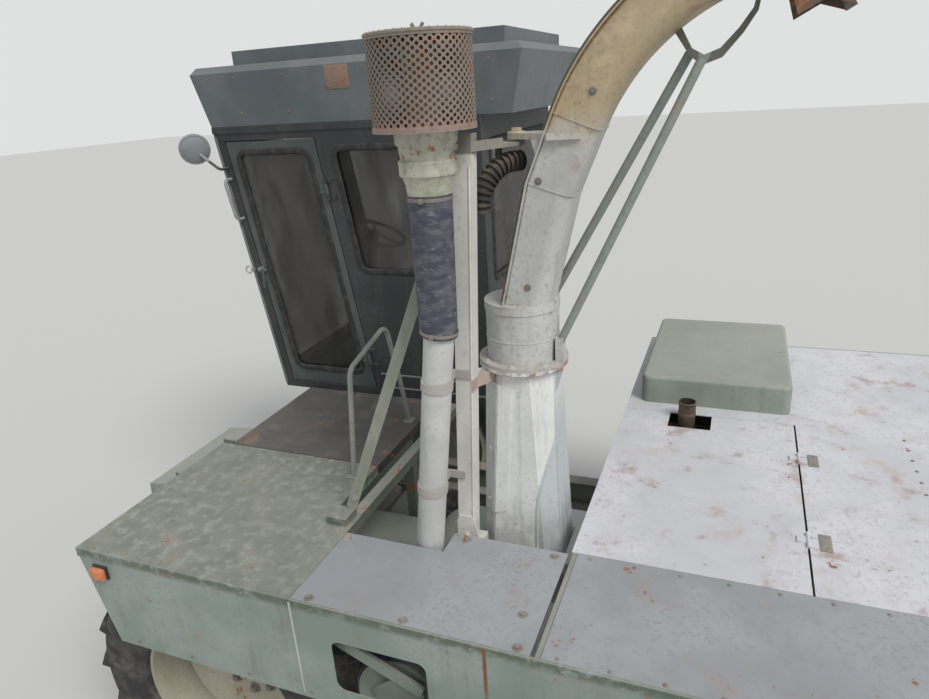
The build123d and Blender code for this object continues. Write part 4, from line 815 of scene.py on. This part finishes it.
pipe_paint = old_paint(
    "pipe_paint", colour(0.47, 0.475, 0.46), colour(0.57, 0.575, 0.56), rust=0.35, dust=0.1, grime=0.4,
    streaks=0.7, patches=((pipe_straps, colour(0.36, 0.31, 0.28)),))
dress(pipe_paint, "intake_pipe")
sleeve_rubber, place = new_finish("sleeve_rubber")
wrinkles = place.spots(0.022, 4.0, (6, 6, 1))
dusty = place.spots(0.07, 6.0, (1, 1, 0.5))
scuffs = place.spots(0.012, 5.0, (3, 3, 1))
tint = dusty.step(0.4, 0.68).blend(colour(0.048, 0.054, 0.075), colour(0.115, 0.118, 0.138))
tint = (scuffs.step(0.55, 0.7) * 0.6).blend(tint, colour(0.22, 0.22, 0.235))
close_finish(place, tint, 0.62 + dusty * 0.25, bump=wrinkles + scuffs * 0.4, height=0.006)
dress(sleeve_rubber, "intake_sleeve")
drum_x, drum_y = 1.0, -0.232
pipe_way = Vector((0, 0.136, 1.120)).normalized()
band_outline = ((0.0, -0.006), (0.0022, -0.005), (0.0028, 0.0), (0.0022, 0.005), (0.0, 0.006), (-0.003, 0.0))
bands = bmesh.new()
for centre, along, radius in ((Vector((drum_x, drum_y, 2.370)) - pipe_way * 0.047, pipe_way, 0.0660),
                              (Vector((drum_x, drum_y, 2.777)), Vector((0, 0, 1)), 0.0716)):
    turned(bands, [(radius + rise, height) for rise, height in band_outline], 64, centre, axis=along)
    bar(bands, centre + Vector((radius - 0.002, -0.008, -0.008)),
        centre + Vector((radius + 0.010, 0.008, 0.008)), 0.0012)
    sweep(bands, [centre + Vector((radius + 0.005, y, 0)) for y in (-0.020, 0.016)], 0.005, 0.005)
add_piece("sleeve_bands", bands, bare_bolt, "root")

# Air screen
# A drum of perforated sheet under a flat lid, on a rolled neck that clamps over the sleeve.
# The sheet is spot-welded to its rims, and it rusts from the bottom rim up.
drum_r, drum_low, drum_high = 0.1605, 2.985, 3.265
drum_holes, hole_rows, hole_r, row_pitch = 40, 25, 0.0058, 0.0108
hole_pitch = 2 * pi * drum_r / drum_holes
first_row = (drum_low + drum_high) / 2 - row_pitch * (hole_rows - 1) / 2 + 0.002
drum = bmesh.new()
for row in range(hole_rows):
    tile = bmesh.new()
    bmesh.ops.create_circle(tile, segments=4, radius=1.0)
    bmesh.ops.scale(tile, verts=tile.verts, vec=(hole_pitch / 2, row_pitch, 1))
    bmesh.ops.subdivide_edges(tile, edges=tile.edges[:], cuts=2)
    bmesh.ops.create_circle(tile, segments=12, radius=hole_r)
    bmesh.ops.bridge_loops(tile, edges=tile.edges[:])
    shift = (hole_pitch / 2 * (row % 2), first_row + row * row_pitch, 0)
    bmesh.ops.translate(tile, verts=tile.verts, vec=shift)
    take_in(drum, tile)
for vert in drum.verts:
    turn = vert.co.x / drum_r
    vert.co = (drum_r * sin(turn), -drum_r * cos(turn), vert.co.y)
repeat_round(drum, drum_holes, (0, 0, 1))
bmesh.ops.remove_doubles(drum, verts=drum.verts, dist=0.0004)
bmesh.ops.translate(drum, verts=drum.verts, vec=(drum_x, drum_y, 0))


def rusty_bottom(place):
    return (1 - (place.part(2) + place.spots(0.05, 4.0) * 0.06).step(3.030, 3.060)) * 0.8


screen_paint = old_paint(
    "screen_paint", colour(0.17, 0.135, 0.108), colour(0.225, 0.185, 0.148), rust=1.0, dust=0.3, grime=0.8,
    blush=0.6, patches=((rusty_bottom, colour(0.30, 0.185, 0.155)),))
screen_sheet = add_piece("air_screen_sheet", drum, screen_paint, "root", ["intake_screen"])
wall = screen_sheet.modifiers.new("wall", "SOLIDIFY")
wall.thickness = 0.0016
wall.offset = -1.0

rims = {
    # name: closed outline of radius and height
    "lower": ((0.157, 2.985), (0.1625, 2.985), (0.1635, 2.990), (0.1620, 3.003), (0.1590, 3.003)),
    "upper": ((0.159, 3.247), (0.1622, 3.247), (0.1630, 3.254), (0.166, 3.256), (0.166, 3.262),
              (0.162, 3.265), (0.05, 3.2665), (0.0, 3.267), (0.0, 3.262), (0.159, 3.260)),
    "floor": ((0.060, 2.986), (0.158, 2.986), (0.158, 2.989), (0.060, 2.989)),
    "neck": ((0.066, 2.7905), (0.0725, 2.7905), (0.0735, 2.800), (0.0755, 2.812), (0.0745, 2.818),
             (0.084, 2.846), (0.0925, 2.852), (0.0935, 2.858), (0.0925, 2.864), (0.0925, 2.888),
             (0.0940, 2.892), (0.0925, 2.897), (0.0850, 2.902), (0.0885, 2.925), (0.0900, 2.940),
             (0.0985, 2.9475), (0.0990, 2.953), (0.0985, 2.978), (0.1010, 2.985), (0.096, 2.985),
             (0.078, 2.860), (0.066, 2.800)),
    "core": ((0.0, 3.0), (0.055, 3.0), (0.055, 3.235), (0.05, 3.24), (0.0, 3.24)),
}
screen_frame = bmesh.new()
for outline in rims.values():
    turned(screen_frame, outline, 96, (drum_x, drum_y, 0))
bmesh.ops.remove_doubles(screen_frame, verts=screen_frame.verts, dist=0.0001)


def flaked_green(place):
    return place.spots(0.06, 5.0).step(0.52, 0.62) * 0.7


def inside_drum(place):
    return place.part(2).step(2.978, 2.990) * (1 - place.part(2).step(3.240, 3.245)) * 0.85


def drum_lid(place):
    return place.part(2).step(3.240, 3.248) * 0.9


neck_paint = old_paint(
    "neck_paint", colour(0.40, 0.39, 0.325), colour(0.49, 0.475, 0.40), rust=0.8, dust=0.3, grime=0.9,
    blush=0.5, patches=((flaked_green, colour(0.27, 0.32, 0.21)), (inside_drum, colour(0.25, 0.15, 0.125)),
                        (drum_lid, colour(0.20, 0.165, 0.13))))
add_piece("air_screen_frame", screen_frame, neck_paint, "root")
wing_nut = bmesh.new()
hexagon(wing_nut, (drum_x, drum_y, 3.2665), (0, 0, 1), 0.017, 0.011)
for side in (-1, 1):
    wing = Vector((drum_x, drum_y + side * 0.014, 3.280))
    bar(wing_nut, wing - Vector((0.0015, 0.0055, 0.010)), wing + Vector((0.0015, 0.0055, 0.010)), 0.0012,
        Matrix.Rotation(side * -0.6, 4, "X"))
add_piece("air_screen_wing_nut", wing_nut, bare_bolt, "root")
neck_arm = bmesh.new()
bar(neck_arm, (0.888, -0.190, 2.915), (0.940, -0.170, 2.935))
add_piece("air_screen_arm", neck_arm, neck_paint, "root")

# Exhaust
# The pipe's top has a rolled bead, and a clamp band below it.
exhaust_bands = (((0.0405, 1.538), (0.0445, 1.539), (0.0450, 1.542), (0.0430, 1.545), (0.0405, 1.5445)),
                 ((0.0418, 1.470), (0.0440, 1.471), (0.0440, 1.487), (0.0418, 1.488)))
exhaust_trim = bmesh.new()
for outline in exhaust_bands:
    turned(exhaust_trim, outline, 48, (-0.300, 0.520, 0))
add_piece("exhaust_trim", exhaust_trim, rusty_sheet, "root")

# Cab
# Grey-blue sheet cab, dull and dusty, with a lighter roof that flares outwards. The shell's grey-blue is
# painted far darker than the real paint, as painted shade for the shadow its walls stand in. Its windows are
# set in black rubber, the front corner has a pale edge strip, and the roof carries a rusty plate.
cab_left, cab_right, cab_floor = -0.180, -1.440, 1.45
# Painted shade: the cab shell's colour is set well below its real grey-blue to stand for the shade on its
# walls.
cab_paint = old_paint("cab_paint", colour(0.021, 0.023, 0.025), colour(0.035, 0.037, 0.040), rust=0.35,
                      dust=0.5, grime=0.7)
dress(cab_paint, "cab_shell")
roof_paint = old_paint("roof_paint", colour(0.088, 0.106, 0.117), colour(0.13, 0.146, 0.156), rust=0.35,
                       dust=0.35, grime=0.5)
dress(roof_paint, "cab_roof")
door_paint = old_paint("door_paint", colour(0.048, 0.060, 0.060), colour(0.076, 0.088, 0.086), rust=0.35,
                       dust=0.4, grime=0.7, blush=0.15)
dress(door_paint, "cab_door")
window_glass, place = new_finish("window_glass")
haze = place.spots(0.25, 6.0, (1, 1, 2.5))
tint = haze.step(0.4, 0.65).blend(colour(0.018, 0.017, 0.015), colour(0.050, 0.046, 0.041))
close_finish(place, tint, 0.15 + haze * 0.5, Alpha=0.35 + haze.step(0.3, 0.7) * 0.45)
dress(window_glass, "cab_glass", "door_glass")


def lean(y, z):
    """Where a line of the cab that stands at y on its floor is at a height."""
    return y - (z - cab_floor) * 0.147


def rectangle(near, far):
    """The corners of a rectangle from two that lie opposite."""
    return near, (far[0], near[1]), far, (near[0], far[1])


def seal(shape, corners, out, radius, steps):
    """A rubber profile round a window."""
    sweep(shape, rounded(corners, radius, closed=True, steps=steps), 0.034, 0.018, out=out, closed=True)


seal_rubber = dusty_finish("seal_rubber", colour(0.018, 0.018, 0.02), colour(0.05, 0.05, 0.052), (0.04, 5.0),
                           0.7, 0.2, height=0.0006)
side_pane = ((-1.2145, 2.195), (-0.560, 2.195), (-0.560, 2.850), (-1.310, 2.850))
door_pane, front_side_pane = (
    [(lean(y, z), z) for y, z in rectangle(*corners)]
    for corners in (((-1.716, 1.585), (-1.257, 2.843)), ((-1.778, 1.80), (-1.235, 2.85))))
front_pane = rectangle((-1.380, 1.56), (-0.240, 2.89))
rear_pane = rectangle((-1.320, 2.15), (-0.300, 2.85))
door_seal, cab_seals = bmesh.new(), bmesh.new()
for shape, x, out, corners in ((door_seal, cab_left, 1, door_pane), (cab_seals, cab_left, 1, side_pane),
                               (cab_seals, cab_right, -1, side_pane),
                               (cab_seals, cab_right, -1, front_side_pane)):
    seal(shape, [(x, y, z) for y, z in corners], (out, 0, 0), 0.060, 7)
seal(cab_seals, [(x, lean(-1.838, z), z) for x, z in front_pane], (0, -0.989, -0.145), 0.030, 5)
seal(cab_seals, [(x, -0.480, z) for x, z in rear_pane], (0, 1, 0), 0.030, 5)
add_piece("door_window_seal", door_seal, seal_rubber, "cab_door")
add_piece("cab_window_seals", cab_seals, seal_rubber, "root")

ring_centre = Vector((-0.168, -1.968, 2.180))
edge_trim = bmesh.new()
for x in (cab_left, cab_right):
    sweep(edge_trim, [(x, lean(-1.833, z), z) for z in (1.47, 2.93)], 0.016, 0.010, out=(1, 0, 0))
for z in (1.505, 1.585):
    sweep(edge_trim, [(cab_left, y, z) for y in (-1.165, -0.492)], 0.014, 0.010, out=(1, 0, 0))
sweep(edge_trim, [ring_centre + Vector((0, 0.019 * y, 0.021 * z)) for y, z in circle(20, 1.0)], 0.009, 0.009,
      closed=True)
bar(edge_trim, (-0.181, -1.955, 2.170), (-0.166, -1.925, 2.190), 0.0015)


def bright_ring(place):
    return 1 - place.away(ring_centre).step(0.027, 0.030)


trim_paint = old_paint("trim_paint", colour(0.115, 0.135, 0.135), colour(0.17, 0.185, 0.18), rust=0.4,
                       dust=0.3, patches=((bright_ring, colour(0.40, 0.42, 0.40)),))
add_piece("cab_edge_trim", edge_trim, trim_paint, "root")

knob_outline = ((0.0, 0.0), (0.014, 0.0), (0.014, 0.003), (0.007, 0.004), (0.007, 0.018), (0.013, 0.022),
                (0.013, 0.034), (0.008, 0.038), (0.0, 0.039))
knob = bmesh.new()
turned(knob, knob_outline, 24, (cab_left, lean(-1.748, 2.188) - 0.021, 2.188), axis=(1, 0, 0), out=(0, 1, 0))
for hinge_z in (1.68, 2.64):
    for up in (-0.017, 0.017):
        dome(knob, (cab_left + 0.006, lean(-1.192, hinge_z) - 0.030, hinge_z + up), (1, 0, 0), 0.005, 0.003)
add_piece("door_knob", knob, trim_paint, "cab_door")

flare_out, flare_tall, flare_low, plate_z = 0.030, 0.305, 2.98, 3.192
slope = Matrix.Rotation(radians(5.62), 4, "Y")
middle = Vector((cab_left + flare_out * (plate_z - flare_low) / flare_tall, -1.218, plate_z))
plate = bmesh.new()
bar(plate, middle - Vector((0.001, 0.068, 0.056)), middle + Vector((0.003, 0.068, 0.056)), 0.0008, slope)
plate_screws = [(0.0028, y, up, 0.0055, 0.0028) for up in (-0.043, 0.043) for y in (-0.055, 0.055)]
plate_screws += [(0.0, y, up, 0.006, 0.0035) for y in (-0.62, -0.32, 0.34, 0.62, 0.80)
                 for up in (-0.150, 0.030)]
for out, y, up, radius, height in plate_screws:
    dome(plate, slope @ Vector((out, y, up)) + middle, slope @ Vector((1, 0, 0)), radius, height)
plate_paint = old_paint("plate_paint", colour(0.20, 0.13, 0.10), colour(0.26, 0.17, 0.13), rust=1.4, dust=0.3)
add_piece("roof_plate", plate, plate_paint, "root")


# Mirror and grab rail
# A round pressed shell on a bent arm, and a bent rail below it on the front post. The mirror's glass is a
# flat light grey patch, a painted reflection.
# Painted reflection: the mirror glass gets a flat light grey for what it reflects.
def mirror_glass_reflection(place):
    return 1 - place.away((-0.071, -2.111, 2.876)).step(0.096, 0.100)


def grab_rail(place):
    return 1 - place.part(2).step(2.715, 2.725)


mirror_paint = old_paint(
    "mirror_paint", colour(0.045, 0.045, 0.048), colour(0.09, 0.09, 0.09), rust=0.5, dust=0.3,
    patches=((mirror_glass_reflection, colour(0.26, 0.28, 0.30)), (grab_rail, colour(0.27, 0.30, 0.31))))
dress(mirror_paint, "mirror")
facing = Vector((0.018, 0.018, -0.008)).normalized()
shell_outline = ((0.0, 0.012), (0.030, 0.011), (0.055, 0.007), (0.072, 0.001), (0.080, -0.004),
                 (0.070, -0.006), (0.0, -0.006))
mirror_shell = bmesh.new()
turned(mirror_shell, shell_outline, 48, (-0.062, -2.102, 2.872), axis=facing,
       out=facing.orthogonal().normalized())
add_piece("mirror_shell", mirror_shell, mirror_paint, "root")

# Seat
# Two foam cushions in black worn cover, crowned by their filling, with piping round each seam.
black_cover = dusty_finish("black_cover", colour(0.022, 0.022, 0.024), colour(0.075, 0.070, 0.065),
                           (0.05, 6.0), 0.55, 0.3, grain=(0.003, 5.0), height=0.0006)
cushions = {
    # name: lowest and highest corner of the foam, the CAD nodes it stands for
    "seat_cushion": ((-1.040, -1.168, 1.828), (-0.600, -0.752, 1.922), ["seat"]),
    "seat_back": ((-1.030, -0.730, 1.880), (-0.610, -0.650, 2.390), []),
}
foam_pressure, most_swell, voxel = 4.0, 0.007, 0.008
for name, (low, high, stands_for) in cushions.items():
    foam = bmesh.new()
    bar(foam, low, high, 0.020)
    pad = add_piece(name, foam, black_cover, "root", stands_for)
    remesh = pad.modifiers.new("even", "REMESH")
    remesh.mode = "VOXEL"
    remesh.voxel_size = voxel
    pad.modifiers.new("foam", "CLOTH")
    cloth = pad.modifiers["foam"].settings
    cloth.use_pressure = True
    cloth.uniform_pressure_force = foam_pressure
    cloth.effector_weights.gravity = 0.0
    view = bpy.context.evaluated_depsgraph_get()
    start = bpy.data.meshes.new_from_object(pad.evaluated_get(view))
    for frame_number in range(1, 21):
        bpy.context.scene.frame_set(frame_number)
    view = bpy.context.evaluated_depsgraph_get()
    puffed = bpy.data.meshes.new_from_object(pad.evaluated_get(view))
    for old, new in zip(start.vertices, puffed.vertices):
        moved = new.co - old.co
        new.co = old.co + moved * min(1.0, most_swell / max(moved.length, 1e-6))
    pad.modifiers.clear()
    pad.data = puffed
    bpy.data.meshes.remove(start)
    bpy.context.scene.frame_set(1)
    smooth = pad.modifiers.new("smooth", "SUBSURF")
    smooth.levels = smooth.render_levels = 1

piping = bmesh.new()
seams = [[(x, y, z) for x, y in rectangle((-1.041, -1.169), (-0.599, -0.751))] for z in (1.838, 1.914)]
seams += [[(x, y, z) for x, z in rectangle((-1.031, 1.879), (-0.609, 2.391))] for y in (-0.722, -0.658)]
for path in seams:
    sweep(piping, rounded(path, 0.024, closed=True), 0.009, 0.009, closed=True)
add_piece("seat_piping", piping, seal_rubber, "root")

# Steering column and wheel
# Black moulded plastic over a steel tube.
black_plastic = dusty_finish("black_plastic", colour(0.02, 0.02, 0.022), colour(0.06, 0.06, 0.06),
                             (0.03, 5.0), 0.5, 0.3, grain=(0.002, 3.0), height=0.0005)
dress(black_plastic, "steering_column")

# Side lamps
# A dusty orange lens with rounded edges on a black base, one on each front fender.
orange_lens = dusty_finish("orange_lens", colour(0.60, 0.17, 0.06), colour(0.58, 0.27, 0.16), (0.02, 4.0),
                           0.3, 0.3, grain=None)
lamp_low, lamp_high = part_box("lamps")
rim = 0.003
lenses, bases = bmesh.new(), bmesh.new()
for side in (-1, 1):
    near, far = sorted((side * (side_x - 0.0005), side * (side_x + 0.009)))
    bar(bases, (near, lamp_low.y, lamp_low.z), (far, lamp_high.y, lamp_high.z), 0.003)
    near, far = sorted((side * (side_x + 0.008), side * lamp_high.x))
    bar(lenses, (near, lamp_low.y + rim, lamp_low.z + rim), (far, lamp_high.y - rim, lamp_high.z - rim),
        0.011)
add_piece("side_lamp_lenses", lenses, orange_lens, "root", ["lamps"])
add_piece("side_lamp_bases", bases, black_plastic, "root")
